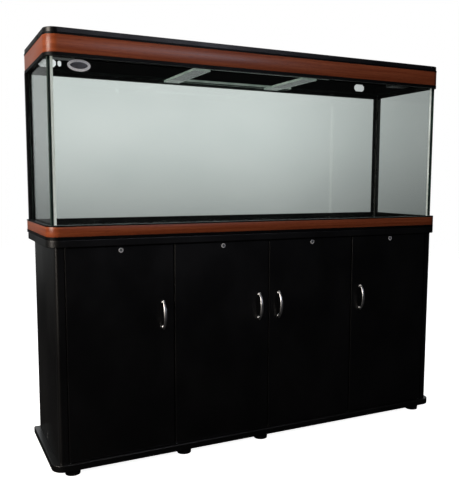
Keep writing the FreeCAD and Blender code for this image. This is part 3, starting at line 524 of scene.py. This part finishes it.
# Translucent vinyl: milky, with a painted glow, an emission that makes it bright in the hood's shade.
MILKY_VINYL_PAINTED_GLOW = SolidFinish(
    "moulded vinyl, milky, painted glow", "#C6D2DA", "#E4ECF0", 0.35,
    (12.0, 12.0, 12.0), (1.0, 1.0, 1.0), 0.02, painted_glow=0.4,
)
# Cherry-print foil under clear lacquer: a red-brown with long dark streaks and a wet gloss.
CHERRY_FOIL = WoodFoil("cherry-print foil, lacquered", "#58220F", "#8C4022", "#AE5B35")
# Float glass, faces fire-polished: colourless with a trace of green.
TANK_GLASS = ClearPane("float glass, polished faces", "#F4F8F6", "#F9FCFA", 1.5)
# Cast acrylic sheet: clear with a trace of grey.
CLEAR_PLASTIC = ClearPane("cast acrylic, clear", "#EDEFF0", "#F7F8F8", 1.49, 0.04)

SLOT_FINISHES: dict[str, Finish] = {
    "black_board": BLACK_BOARD,
    "foot_plastic": FOOT_PLASTIC,
    "zinc_steel": ZINC_STEEL,
    "cap_plastic": CAP_PLASTIC,
    "frame_plastic": FRAME_PLASTIC,
    "lid_plastic": LID_PLASTIC,
    "cherry_foil": CHERRY_FOIL,
    "foam": MAT_FOAM,
    "tank_glass": TANK_GLASS,
    "clear_silicone": CLEAR_SILICONE,
    "black_silicone": BLACK_SILICONE,
    "clear_plastic": CLEAR_PLASTIC,
    "chrome": CHROME,
    "badge_metal": BADGE_RING,
    "pad_rubber": PAD_RUBBER,
    "lamp_aluminium": ALUMINIUM,
    "lamp_tube": TUBE_GLASS,
}

# the rim clip gets the milky vinyl with its painted glow
NODE_FINISHES: dict[str, Finish] = {"rim_clip": MILKY_VINYL_PAINTED_GLOW}


def edge_finish(work: EdgeWork) -> SolidFinish:
    """The worked rim of float glass, which shows the green of the whole pane's depth, with a painted glow
    that stands in for light.

    Args:
        work: How the rim was worked.

    Returns:
        Its finish.
    """
    # the rim's painted glow is an emission that stands in for light
    deep, light, roughness, painted_glow = work.value
    name = "float glass, " + work.name.lower() + " edge"
    return SolidFinish(
        name, deep, light, roughness, (60.0, 60.0, 60.0), (1.5, 1.5, 1.5), 0.02, ior=1.35, painted_glow=painted_glow
    )


def new_piece(
    mesh: bmesh.types.BMesh,
    name: str,
    body: str,
    nodes: tuple[str, ...],
    finishes: tuple[Finish, ...],
) -> bpy.types.Object:
    """Turns finished geometry into a piece that rides on a body and stands for CAD nodes.

    Args:
        mesh: The geometry, in the frame, in metres.
        name: The piece's name.
        body: The CAD body that it moves with.
        nodes: The CAD nodes that it stands for.
        finishes: Its finishes, in the order of the faces' material numbers.

    Returns:
        The piece.
    """
    bmesh.ops.remove_doubles(mesh, verts=mesh.verts, dist=WELD)
    bmesh.ops.recalc_face_normals(mesh, faces=mesh.faces)
    for face in mesh.faces:
        face.smooth = True
    data = bpy.data.meshes.new(name)
    mesh.to_mesh(data)
    mesh.free()
    data.set_sharp_from_angle(angle=SHARP_ANGLE)
    for finish in finishes:
        data.materials.append(finish.material())
    piece = bpy.data.objects.new(name, data)
    bpy.context.scene.collection.objects.link(piece)
    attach(piece, body)
    if nodes:
        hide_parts(*nodes)
    LOG.info("made %s: %d faces", name, len(data.polygons))
    return piece


def block(low: Vector, high: Vector, edge: float, segments: int) -> bmesh.types.BMesh:
    """A board or pane with worked edges.

    Args:
        low: Its lowest corner.
        high: Its highest corner.
        edge: Radius or width of the worked edge, in metres.
        segments: 1 for a chamfer, more for a round edge.

    Returns:
        The geometry.
    """
    mesh = bmesh.new()
    bmesh.ops.create_cube(mesh, size=1.0)
    bmesh.ops.scale(mesh, vec=high - low, verts=mesh.verts)
    bmesh.ops.translate(mesh, vec=(low + high) / 2, verts=mesh.verts)
    bmesh.ops.bevel(
        mesh, geom=mesh.edges[:], offset=edge, segments=segments, profile=0.5, affect="EDGES", material=-1
    )
    return mesh


def turned(profile: Profile, centre: Vector, axis: Vector) -> bmesh.types.BMesh:
    """A part turned on a lathe.

    Args:
        profile: Radius and distance along the axis of each corner, from one end to the other.
        centre: Where the axis starts.
        axis: The axis's direction.

    Returns:
        The geometry.
    """
    mesh = bmesh.new()
    corners = [mesh.verts.new((radius, 0.0, along)) for radius, along in profile]
    edges = [mesh.edges.new(pair) for pair in zip(corners, corners[1:])]
    bmesh.ops.spin(
        mesh,
        geom=corners + edges,
        cent=(0, 0, 0),
        axis=(0, 0, 1),
        angle=math.tau,
        steps=TURN_STEPS,
        use_merge=True,
    )
    bmesh.ops.remove_doubles(mesh, verts=mesh.verts, dist=WELD)
    turn = Vector((0, 0, 1)).rotation_difference(axis).to_matrix().to_4x4()
    bmesh.ops.transform(mesh, matrix=Matrix.Translation(centre) @ turn, verts=mesh.verts)
    return mesh


def thin_axis(size: Vector) -> int:
    """The axis along which a board or pane is thinnest."""
    return min(range(3), key=lambda i: size[i])


def mark_rim(mesh: bmesh.types.BMesh, thin: int) -> None:
    """Gives the broad faces of a board or pane material 0 and its rim material 1.

    Args:
        mesh: The board or pane.
        thin: The axis along which it is thinnest.
    """
    for face in mesh.faces:
        face.material_index = 0 if abs(face.normal[thin]) > BROAD_FACE else 1


def add_to(target: bmesh.types.BMesh, part: bmesh.types.BMesh, material: int | None = None) -> None:
    """Puts a part into a larger geometry and frees it.

    Args:
        target: The geometry that grows.
        part: What goes into it.
        material: The material number of the part's faces, if they don't have theirs yet.
    """
    if material is not None:
        for face in part.faces:
            face.material_index = material
    bmesh.ops.recalc_face_normals(part, faces=part.faces)
    scratch = bpy.data.meshes.new("scratch")
    part.to_mesh(scratch)
    part.free()
    target.from_mesh(scratch)
    bpy.data.meshes.remove(scratch)


@dataclass
class Board:
    """A straight cabinet board: satin faces, and edging on its thin sides."""

    node: str
    edge: float = 1.0 * MM
    edge_steps: int = 3

    def build(self) -> None:
        """Makes the board in its CAD node's place."""
        low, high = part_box(self.node)
        mesh = block(low, high, self.edge, self.edge_steps)
        mark_rim(mesh, thin_axis(high - low))
        finishes = (BLACK_BOARD, BLACK_EDGING)
        new_piece(mesh, self.node + "_board", "root", (self.node,), finishes)


@dataclass
class Handle:
    """A crescent bow handle: thick in the middle, thin at its tips, on two flared posts."""

    door: Door
    middle_depth: float = 4.0 * MM
    tip_depth: float = 1.1 * MM
    middle_width: float = 5.5 * MM
    tip_width: float = 3.4 * MM
    tip_height: float = 1.0 * MM
    post_spread: float = 42.0 * MM
    post_radius: float = 3.5 * MM
    post_length: float = 11.0 * MM
    foot_radius: float = 5.0 * MM
    foot_rim: float = 0.8 * MM
    foot_height: float = 2.6 * MM
    stand_off: float = 6.0 * MM
    head_radius: float = 4.0 * MM
    head_rim: float = 0.8 * MM
    head_shoulder: tuple[float, float] = (3.0 * MM, 1.7 * MM)
    head_crest: tuple[float, float] = (1.4 * MM, 2.0 * MM)
    drive_rim: tuple[float, float] = (1.2 * MM, 1.0 * MM)
    drive_depth: float = 0.9 * MM
    ring_corners: int = 20
    bow_steps: int = 36

    def bow(self, middle: Vector, half_height: float, tip_y: float, front_y: float) -> bmesh.types.BMesh:
        """The bow: a ring spun along an arc, then thinned towards both tips.

        Args:
            middle: The handle's middle on the door's face.
            half_height: Half the handle's height.
            tip_y: Depth of the tips' middle line.
            front_y: Depth of the bow's middle line where it stands out most.

        Returns:
            The geometry.
        """
        rise = tip_y - front_y
        radius = (half_height ** 2 + rise ** 2) / (2 * rise)
        centre = Vector((middle.x, front_y + radius, middle.z))
        half_turn = math.asin(half_height / radius)
        mesh = bmesh.new()
        ring = bmesh.ops.create_circle(mesh, segments=self.ring_corners, radius=MM)["verts"]
        lean = Matrix.Rotation(half_turn, 4, "X")
        place = Matrix.Translation(centre) @ lean @ Matrix.Translation((0, -radius, 0))
        bmesh.ops.transform(mesh, matrix=place, verts=ring)
        bmesh.ops.spin(
            mesh,
            geom=ring + mesh.edges[:],
            cent=centre,
            axis=(1, 0, 0),
            angle=-2 * half_turn,
            steps=self.bow_steps,
        )
        for vert in mesh.verts:
            arm = vert.co - centre
            turn = math.atan2(arm.z, -arm.y)
            share = math.cos(turn / half_turn * math.pi / 2)
            depth = self.tip_depth + (self.middle_depth - self.tip_depth) * share
            width = self.tip_width + (self.middle_width - self.tip_width) * share
            reach = math.hypot(arm.y, arm.z)
            grown = radius + (reach - radius) / MM * depth
            across = (vert.co.x - middle.x) / MM * width
            out = Vector((0, -math.cos(turn), math.sin(turn))) * grown
            vert.co = Vector((middle.x + across, centre.y, centre.z)) + out
        rim = [edge for edge in mesh.edges if edge.is_boundary]
        bmesh.ops.holes_fill(mesh, edges=rim, sides=0)
        return mesh

    def build(self) -> None:
        """Makes the bow, its posts and the screw heads behind the door."""
        node = "handle_" + self.door.value
        low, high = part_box(node)
        door_low, door_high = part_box(self.door.body)
        middle = Vector(((low.x + high.x) / 2, door_low.y, (low.z + high.z) / 2))
        half_height = (high.z - low.z) / 2 - self.tip_height
        front_y = low.y + self.middle_depth
        mesh = self.bow(middle, half_height, door_low.y - self.stand_off, front_y)
        post: Profile = [
            (0.0, 0.0),
            (self.foot_radius, 0.0),
            (self.foot_radius, self.foot_rim),
            (self.post_radius, self.foot_height),
            (self.post_radius, self.post_length),
            (0.0, self.post_length),
        ]
        head: Profile = [
            (0.0, 0.0),
            (self.head_radius, 0.0),
            (self.head_radius, self.head_rim),
            self.head_shoulder,
            self.head_crest,
            self.drive_rim,
            (0.0, self.drive_depth),
        ]
        for sign in (-1, 1):
            foot = middle + Vector((0, 0, sign * self.post_spread))
            add_to(mesh, turned(post, foot, Vector((0, -1, 0))))
            screw = Vector((foot.x, door_high.y, foot.z))
            add_to(mesh, turned(head, screw, Vector((0, 1, 0))))
        new_piece(mesh, node + "_bow", self.door.body, (node,), (CHROME,))


@dataclass
class LockFace:
    """A lock's barrel with a flat face ring whose rims are rounded."""

    door: Door
    bore: float = 4.6 * MM
    body_radius: float = 7.0 * MM
    flatness: float = 0.4
    steps: int = 10

    def build(self) -> None:
        """Turns the ring and the barrel through the door."""
        node = "lock_barrel_" + self.door.value
        low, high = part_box(node)
        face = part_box(self.door.body)[0].y
        proud = face - low.y
        radius = (high.x - low.x) / 2
        middle = (radius + self.bore) / 2
        turns = [math.pi * step / self.steps for step in range(self.steps + 1)]
        half = (radius - self.bore) / 2
        ring = [(middle + half * math.cos(turn), proud * math.sin(turn) ** self.flatness) for turn in turns]
        tail = face - high.y
        profile = [*ring, (self.bore, tail), (self.body_radius, tail), (self.body_radius, 0.0), ring[0]]
        centre = Vector(((low.x + high.x) / 2, face, (low.z + high.z) / 2))
        mesh = turned(profile, centre, Vector((0, -1, 0)))
        new_piece(mesh, node + "_ring", self.door.body, (node,), (NICKEL_PAINTED_HIGHLIGHT,))


@dataclass
class WoodBand:
    """A foil-wrapped band let into a frame, round the two front corners.

    Edges that turn more than its square angle, in radians, get a small round.
    """

    node: str
    corner_radius: float
    thickness: float = 2.0 * MM
    edge: float = 0.5 * MM
    edge_steps: int = 2
    square: float = 1.2
    corner_steps: int = 18

    def run(self, point: Vector, low: Vector, high: Vector) -> float:
        """Length along the band from its middle to a point on it.

        Args:
            point: A point of the band.
            low: The band's lowest corner.
            high: The band's highest corner.

        Returns:
            The length, negative left of the middle.
        """
        straight = high.x - self.corner_radius
        turn_y = low.y + self.corner_radius
        out = abs(point.x)
        if out <= straight:
            length = out
        elif point.y < turn_y:
            length = straight + self.corner_radius * math.atan2(out - straight, turn_y - point.y)
        else:
            length = straight + self.corner_radius * math.pi / 2 + point.y - turn_y
        return math.copysign(length, point.x)

    def build(self) -> None:
        """Makes the band from a bent strip that gets its height and then its thickness."""
        low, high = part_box(self.node)
        mesh = bmesh.new()
        bmesh.ops.create_grid(mesh, x_segments=1, y_segments=1, size=0.5)
        bmesh.ops.scale(mesh, vec=(high.x - low.x, high.y - low.y, 1), verts=mesh.verts)
        bmesh.ops.translate(mesh, vec=(0, (low.y + high.y) / 2, low.z), verts=mesh.verts)
        front = [vert for vert in mesh.verts if vert.co.y < 0]
        bmesh.ops.bevel(
            mesh, geom=front, offset=self.corner_radius, segments=self.corner_steps, profile=0.5,
            affect="VERTICES", material=-1,
        )
        bmesh.ops.delete(mesh, geom=mesh.faces[:], context="FACES_ONLY")
        rear = [edge for edge in mesh.edges if all(v.co.y > high.y - WELD for v in edge.verts)]
        bmesh.ops.delete(mesh, geom=rear, context="EDGES")
        grown = bmesh.ops.extrude_edge_only(mesh, edges=mesh.edges[:])["geom"]
        raised = [item for item in grown if isinstance(item, bmesh.types.BMVert)]
        bmesh.ops.translate(mesh, vec=(0, 0, high.z - low.z), verts=raised)
        bmesh.ops.recalc_face_normals(mesh, faces=mesh.faces)
        inside = Vector((0, 0, low.z))
        if sum(face.normal.dot(face.calc_center_median() - inside) for face in mesh.faces) < 0:
            bmesh.ops.reverse_faces(mesh, faces=mesh.faces)
        bmesh.ops.solidify(mesh, geom=mesh.faces[:], thickness=self.thickness)
        bmesh.ops.recalc_face_normals(mesh, faces=mesh.faces)
        corners = [edge for edge in mesh.edges if edge.is_manifold and edge.calc_face_angle() > self.square]
        bmesh.ops.bevel(
            mesh, geom=corners, offset=self.edge, segments=self.edge_steps, profile=0.5,
            affect="EDGES", material=-1,
        )
        layer = mesh.loops.layers.uv.new("band")
        for face in mesh.faces:
            for loop in face.loops:
                loop[layer].uv = (self.run(loop.vert.co, low, high), loop.vert.co.z)
        new_piece(mesh, self.node + "_foil", "root", (self.node,), (CHERRY_FOIL,))


@dataclass
class Pane:
    """A pane of float glass: clear faces and a chamfered, green rim."""

    node: str
    work: EdgeWork = EdgeWork.SEAMED
    chamfer: float = 1.0 * MM
    bond: float = 0.2 * MM

    def build(self) -> None:
        """Makes every pane of the CAD node, each a bond line short of its neighbours."""
        made = bmesh.new()
        for low, high in solid_boxes(self.node):
            thin = thin_axis(high - low)
            gap = Vector([0.0 if i == thin else self.bond for i in range(3)])
            mesh = block(low + gap, high - gap, self.chamfer, 1)
            mark_rim(mesh, thin)
            add_to(made, mesh)
        finishes = (TANK_GLASS, edge_finish(self.work))
        new_piece(made, self.node + "_pane", "root", (self.node,), finishes)


def solid_boxes(node: str) -> list[tuple[Vector, Vector]]:
    """The box of each separate solid of a CAD node.

    Args:
        node: The CAD node's name.

    Returns:
        The lowest and highest corner of each.
    """
    copy = bmesh.new()
    copy.from_mesh(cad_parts[node].data)
    bmesh.ops.remove_doubles(copy, verts=copy.verts, dist=WELD)
    left = set(copy.verts)
    boxes = []
    while left:
        todo = [left.pop()]
        island = []
        while todo:
            vert = todo.pop()
            island.append(vert.co.copy())
            near = [edge.other_vert(vert) for edge in vert.link_edges]
            fresh = [other for other in near if other in left]
            left.difference_update(fresh)
            todo.extend(fresh)
        low = Vector([min(point[i] for point in island) for i in range(3)])
        high = Vector([max(point[i] for point in island) for i in range(3)])
        boxes.append((low, high))
    copy.free()
    return sorted(boxes, key=lambda box: tuple(box[0]))


@dataclass
class CornerBeads:
    """Hand-tooled silicone in two upright corners: hollow in the middle, a little off the glass."""

    node: str
    finish: SolidFinish
    slot: str
    inward_y: int
    gap: float = 0.15 * MM
    steps: int = 8

    def build(self) -> None:
        """Makes both beads."""
        made = bmesh.new()
        for low, high in solid_boxes(self.node):
            inward_x = 1 if low.x < 0 else -1
            leg = min(high.x - low.x, high.y - low.y) - self.gap
            corner = Vector((
                low.x + self.gap if inward_x > 0 else high.x - self.gap,
                low.y + self.gap if self.inward_y > 0 else high.y - self.gap,
                low.z,
            ))
            mesh = bmesh.new()
            start = mesh.verts.new((leg, 0, 0))
            spun = bmesh.ops.spin(
                mesh, geom=[start], cent=(leg, leg, 0), axis=(0, 0, 1), angle=-math.pi / 2, steps=self.steps
            )
            end = [item for item in spun["geom_last"] if isinstance(item, bmesh.types.BMVert)][0]
            root = mesh.verts.new((0, 0, 0))
            mesh.edges.new((root, start))
            mesh.edges.new((root, end))
            bmesh.ops.edgeloop_fill(mesh, edges=mesh.edges[:])
            raised = bmesh.ops.extrude_face_region(mesh, geom=mesh.faces[:])["geom"]
            tops = [item for item in raised if isinstance(item, bmesh.types.BMVert)]
            bmesh.ops.translate(mesh, vec=(0, 0, high.z - low.z), verts=tops)
            turn = Matrix.Diagonal((inward_x, self.inward_y, 1, 1))
            bmesh.ops.transform(mesh, matrix=Matrix.Translation(corner) @ turn, verts=mesh.verts)
            add_to(made, mesh)
        new_piece(made, self.node + "_bead", "root", (self.node,), (self.finish,))


@dataclass
class Badge:
    """A blank oval label with a raised silver ring."""

    node: str = "badge"
    rim: float = 1.2 * MM
    ring: float = 8.0 * MM
    dome: float = 0.2 * MM
    corners: int = 64

    def build(self) -> None:
        """Makes the label from an oval that is inset twice."""
        low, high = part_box(self.node)
        mesh = bmesh.new()
        bmesh.ops.create_circle(mesh, cap_ends=True, segments=self.corners, radius=0.5)
        depth = high.y - low.y - self.dome
        size = (high.x - low.x, high.z - low.z, 1)
        bmesh.ops.scale(mesh, vec=size, verts=mesh.verts)
        raised = bmesh.ops.extrude_face_region(mesh, geom=mesh.faces[:])["geom"]
        tops = [item for item in raised if isinstance(item, bmesh.types.BMVert)]
        bmesh.ops.translate(mesh, vec=(0, 0, depth), verts=tops)
        face = [item for item in raised if isinstance(item, bmesh.types.BMFace)][0]
        bmesh.ops.inset_region(mesh, faces=[face], thickness=self.rim, depth=0.0)
        ring = bmesh.ops.inset_region(mesh, faces=[face], thickness=self.ring, depth=0.0)["faces"]
        lifted = bmesh.ops.extrude_face_region(mesh, geom=ring)["geom"]
        crest = [item for item in lifted if isinstance(item, bmesh.types.BMVert)]
        bmesh.ops.translate(mesh, vec=(0, 0, self.dome), verts=crest)
        bmesh.ops.delete(mesh, geom=ring, context="FACES_ONLY")
        for item in mesh.faces:
            item.material_index = 1 if item.calc_center_median().z > depth + self.dome / 4 else 0
        place = Vector(((low.x + high.x) / 2, high.y, (low.z + high.z) / 2))
        turn = Matrix.Rotation(math.pi / 2, 4, "X")
        bmesh.ops.transform(mesh, matrix=Matrix.Translation(place) @ turn, verts=mesh.verts)
        new_piece(
            mesh, "badge_label", "root", (self.node,), (BADGE_FIELD, BADGE_RING)
        )


@dataclass
class LampTubes:
    """Two fluorescent tubes with rolled metal caps."""

    node: str = "lamp_tubes"
    cap: float = 16.0 * MM
    cap_step: float = 0.4 * MM
    end_round: float = 1.2 * MM
    rim_round: float = 1.0 * MM

    def build(self) -> None:
        """Turns both tubes along the lamp."""
        made = bmesh.new()
        for low, high in solid_boxes(self.node):
            radius = (high.z - low.z) / 2
            length = high.x - low.x
            start = Vector((low.x, (low.y + high.y) / 2, (low.z + high.z) / 2))
            inner = radius - self.cap_step
            far_cap = length - self.cap
            glass: Profile = [(0.0, self.cap), (inner, self.cap), (inner, far_cap), (0.0, far_cap)]
            add_to(made, turned(glass, start, Vector((1, 0, 0))), 0)
            shell: Profile = [
                (0.0, 0.0),
                (inner, 0.0),
                (radius, self.end_round),
                (radius, self.cap - self.rim_round),
                (inner, self.cap),
                (0.0, self.cap),
            ]
            add_to(made, turned(shell, start, Vector((1, 0, 0))), 1)
            far = start + Vector((length, 0, 0))
            add_to(made, turned(shell, far, Vector((-1, 0, 0))), 1)
        new_piece(made, "lamp_tubes_glass", "root", (self.node,), (TUBE_GLASS, ALUMINIUM))


@dataclass
class Cabinet:
    """The stand: boards, and the bows and lock rings on its four doors."""

    boards: tuple[str, ...] = (
        "side_panel_left", "side_panel_right", "partition_left", "partition_centre", "partition_right",
    )

    def build(self) -> None:
        """Makes the boards, the handles and the lock rings."""
        for node in self.boards:
            Board(node).build()
        for door in Door:
            Handle(door).build()
            LockFace(door).build()


@dataclass
class Tank:
    """The glass tank: panes, braces, silicone, label and the band round its base."""

    walls: tuple[str, ...] = ("front_glass", "back_glass", "left_glass", "right_glass", "floor_glass")
    braces: tuple[str, ...] = ("front_brace", "rear_brace", "cross_braces")

    def build(self) -> None:
        """Makes every piece of the tank that shows."""
        for node in self.walls:
            Pane(node).build()
        for node in self.braces:
            Pane(node, EdgeWork.POLISHED).build()
        CornerBeads("front_seams", PAINTED_GLOW_SILICONE, "clear_silicone", 1).build()
        CornerBeads("rear_seams", BLACK_SILICONE, "black_silicone", -1).build()
        WoodBand("base_band", 39.0 * MM).build()
        Badge().build()


@dataclass
class Hood:
    """The hood: its band and the lamp under the lids."""

    def build(self) -> None:
        """Makes the hood's band and tubes."""
        WoodBand("hood_band", 38.0 * MM).build()
        LampTubes().build()


@dataclass
class SoftBox:
    """A flat studio lamp that points at a place."""

    name: str
    place: Triple
    target: Triple
    width: float
    height: float
    power: float
    colour: str = "#FFFFFF"

    def build(self) -> None:
        """Hangs the lamp."""
        data = bpy.data.lights.new(self.name, "AREA")
        data.shape = "RECTANGLE"
        data.size = self.width
        data.size_y = self.height
        data.energy = self.power
        data.color = linear(self.colour)[:3]
        lamp = bpy.data.objects.new(self.name, data)
        bpy.context.scene.collection.objects.link(lamp)
        lamp.location = self.place
        lamp.visible_transmission = False
        aim = Vector(self.target) - Vector(self.place)
        lamp.rotation_euler = aim.to_track_quat("-Z", "Y").to_euler()


@dataclass
class Studio:
    """A pale floor that fades into a white room, soft lamps and the camera.

    Each grade dims the room that glass and gloss show, along one axis of the direction looked in: its
    start and end, and the brightness before and after them. The front one leaves alone what the camera
    sees straight through glass.
    """

    floor_radius: float = 9.0
    floor_corners: int = 96
    floor_fade: tuple[float, float] = (0.35, 0.9)
    floor_mottle: Triple = (900.0, 900.0, 900.0)
    floor_roughness: float = 0.8
    floor_glow: float = 0.95
    front_grade: tuple[float, float, float, float] = (0.20, 0.60, 0.03, 1.0)
    grades: tuple[tuple[str, float, float, float, float], ...] = (
        ("X", 0.46, 0.72, 0.84, 0.38),
        ("X", -0.20, 0.08, 0.2, 1.0),
        ("Z", -0.10, 0.10, 0.45, 1.0),
    )
    camera_place: Triple = (-1.112, -2.170, 0.932)
    camera_turn: float = 25.82
    camera_dip: float = 6.05
    camera_roll: float = 0.17
    lens: float = 46.06
    sensor: float = 36.0
    lamps: tuple[SoftBox, ...] = field(default_factory=lambda: (
        SoftBox("left soft box", (-3.2, -0.9, 1.7), (0.0, 0.0, 0.9), 1.4, 1.6, 84.0, "#FFF4E8"),
        SoftBox("front soft box", (0.72, -3.1, 2.12), (0.0, -0.2, 1.35), 1.3, 0.4, 12.0, "#EFEFFF"),
        SoftBox("top soft box", (0.0, 0.3, 3.2), (0.0, 0.0, 1.0), 2.4, 1.6, 40.0),
    ))

    def seen_through_glass(self, tree: Tree) -> Socket:
        """Tells what the camera sees straight through glass from what is mirrored or scattered.

        Args:
            tree: The room's node tree.

        Returns:
            One straight through glass, otherwise zero.
        """
        path = add_node(tree, "ShaderNodeLightPath")
        aside = add_node(
            tree,
            "ShaderNodeMath",
            {"operation": "ADD"},
            {0: path.outputs["Diffuse Depth"], 1: path.outputs["Glossy Depth"]},
        )
        straight = add_node(
            tree, "ShaderNodeMath", {"operation": "LESS_THAN"}, {0: aside.outputs["Value"], 1: 0.5}
        )
        through = add_node(
            tree,
            "ShaderNodeMath",
            {"operation": "MULTIPLY"},
            {0: path.outputs["Is Transmission Ray"], 1: straight.outputs["Value"]},
        )
        return through.outputs["Value"]

    def brightness(self, tree: Tree) -> Socket:
        """How bright the room is in each direction that glass and gloss look in.

        Args:
            tree: The room's node tree.

        Returns:
            The product of all grades.
        """
        place = add_node(tree, "ShaderNodeTexCoord")
        parts = add_node(tree, "ShaderNodeSeparateXYZ", None, {"Vector": place.outputs["Generated"]})
        shades = []
        for axis, start, end, before, after in (*self.grades, ("Y", *self.front_grade)):
            steps = {"From Min": start, "From Max": end, "To Min": before, "To Max": after}
            grade = add_node(
                tree,
                "ShaderNodeMapRange",
                {"interpolation_type": "SMOOTHSTEP"},
                {"Value": parts.outputs[axis], **steps},
            )
            shades.append(grade.outputs["Result"])
        front = add_node(
            tree,
            "ShaderNodeMath",
            {"operation": "MAXIMUM"},
            {0: shades.pop(), 1: self.seen_through_glass(tree)},
        )
        value = front.outputs["Value"]
        for shade in shades:
            joined = add_node(tree, "ShaderNodeMath", {"operation": "MULTIPLY"}, {0: value, 1: shade})
            value = joined.outputs["Value"]
        return value

    def room(self) -> None:
        """A white room in front of the camera, and a graded, dimmer one for what glass and gloss show."""
        world = bpy.data.worlds.new("studio")
        world.use_nodes = True
        tree = world.node_tree
        tree.nodes.clear()
        graded = add_node(
            tree,
            "ShaderNodeBackground",
            None,
            {"Color": linear("#F6FAFA"), "Strength": self.brightness(tree)},
        )
        white = add_node(tree, "ShaderNodeBackground", None, {"Color": linear("#FFFFFF"), "Strength": 1.0})
        path = add_node(tree, "ShaderNodeLightPath")
        mixed = add_node(
            tree,
            "ShaderNodeMixShader",
            None,
            {0: path.outputs["Is Camera Ray"], 1: graded.outputs[0], 2: white.outputs[0]},
        )
        add_node(tree, "ShaderNodeOutputWorld", None, {"Surface": mixed.outputs["Shader"]})
        bpy.context.scene.world = world

    def floor_paint(self) -> bpy.types.Material:
        """Pale matt paint for the camera, a dim floor for what gloss shows, and nothing at the rim.

        Returns:
            The floor's material.
        """
        made = bpy.data.materials.new("painted floor, pale matt")
        made.use_nodes = True
        tree = made.node_tree
        tree.nodes.clear()
        place = add_node(tree, "ShaderNodeTexCoord")
        far = add_node(
            tree, "ShaderNodeVectorMath", {"operation": "LENGTH"}, {0: place.outputs["Object"]}
        )
        start, end = (share * self.floor_radius for share in self.floor_fade)
        fade = add_node(
            tree,
            "ShaderNodeMapRange",
            {"interpolation_type": "SMOOTHSTEP"},
            {"Value": far.outputs["Value"], "From Min": start, "From Max": end},
        )
        colour = add_node(
            tree,
            "ShaderNodeMix",
            {"data_type": "RGBA"},
            {
                0: pattern(tree, self.floor_mottle, 2.0),
                MIX_A: linear("#F4F4F4"),
                MIX_B: linear("#F8F8F8"),
            },
        )
        paint = add_node(
            tree,
            "ShaderNodeBsdfPrincipled",
            None,
            {
                "Base Color": colour.outputs[MIX_RESULT],
                "Roughness": self.floor_roughness,
                "Emission Color": linear("#FFFFFF"),
                "Emission Strength": self.floor_glow,
            },
        )
        dim = add_node(tree, "ShaderNodeBsdfDiffuse", None, {"Color": linear("#2A2A2B")})
        path = add_node(tree, "ShaderNodeLightPath")
        seen = add_node(
            tree,
            "ShaderNodeMixShader",
            None,
            {0: path.outputs["Is Camera Ray"], 1: dim.outputs["BSDF"], 2: paint.outputs["BSDF"]},
        )
        gone = add_node(tree, "ShaderNodeBsdfTransparent")
        mixed = add_node(
            tree,
            "ShaderNodeMixShader",
            None,
            {0: fade.outputs["Result"], 1: seen.outputs["Shader"], 2: gone.outputs["BSDF"]},
        )
        add_node(tree, "ShaderNodeOutputMaterial", None, {"Surface": mixed.outputs["Shader"]})
        return made

    def floor(self) -> None:
        """A pale painted floor whose rim fades away."""
        mesh = bmesh.new()
        bmesh.ops.create_circle(
            mesh, cap_ends=True, segments=self.floor_corners, radius=self.floor_radius
        )
        data = bpy.data.meshes.new("floor")
        mesh.to_mesh(data)
        mesh.free()
        data.materials.append(self.floor_paint())
        floor = bpy.data.objects.new("floor", data)
        bpy.context.scene.collection.objects.link(floor)

    def camera(self) -> None:
        """Sets the camera in front of the object and to its left, at two thirds of its height."""
        data = bpy.data.cameras.new("camera")
        data.lens = self.lens
        data.sensor_width = self.sensor
        camera = bpy.data.objects.new("camera", data)
        bpy.context.scene.collection.objects.link(camera)
        turn = Matrix.Rotation(-math.radians(self.camera_turn), 4, "Z")
        dip = Matrix.Rotation(math.radians(90 - self.camera_dip), 4, "X")
        roll = Matrix.Rotation(math.radians(self.camera_roll), 4, "Z")
        camera.matrix_world = Matrix.Translation(self.camera_place) @ turn @ dip @ roll
        bpy.context.scene.camera = camera

    def build(self) -> None:
        """Makes the room, the floor, the lamps and the camera."""
        self.room()
        self.floor()
        for lamp in self.lamps:
            lamp.build()
        self.camera()
        bpy.context.scene.view_settings.view_transform = "Standard"


@dataclass
class CarriedParts:
    """The CAD nodes that keep their own shape and only get a finish; the rim clip's finish has a painted
    glow.
    """

    plain: ClassVar[str] = "black_board"

    def dress(self) -> None:
        """Gives every node that still shows its own finish, or that of its material slot."""
        for name, node in sorted(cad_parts.items()):
            if node.hide_render:
                continue
            for holder in node.material_slots:
                slot = holder.material.name.split(".")[0] if holder.material else self.plain
                finish = NODE_FINISHES.get(name) or SLOT_FINISHES.get(slot)
                if finish:
                    holder.material = finish.material()
            LOG.info("dressed %s", name)


def main() -> None:
    """Builds the studio, then the stand, the tank and the hood, and dresses the rest."""
    logging.basicConfig(level=logging.INFO, format="%(name)s: %(message)s")
    for assembly in (Studio(), Cabinet(), Tank(), Hood()):
        assembly.build()
        LOG.info("built the %s", type(assembly).__name__.lower())
    CarriedParts().dress()


if __name__ == "__main__":
    main()
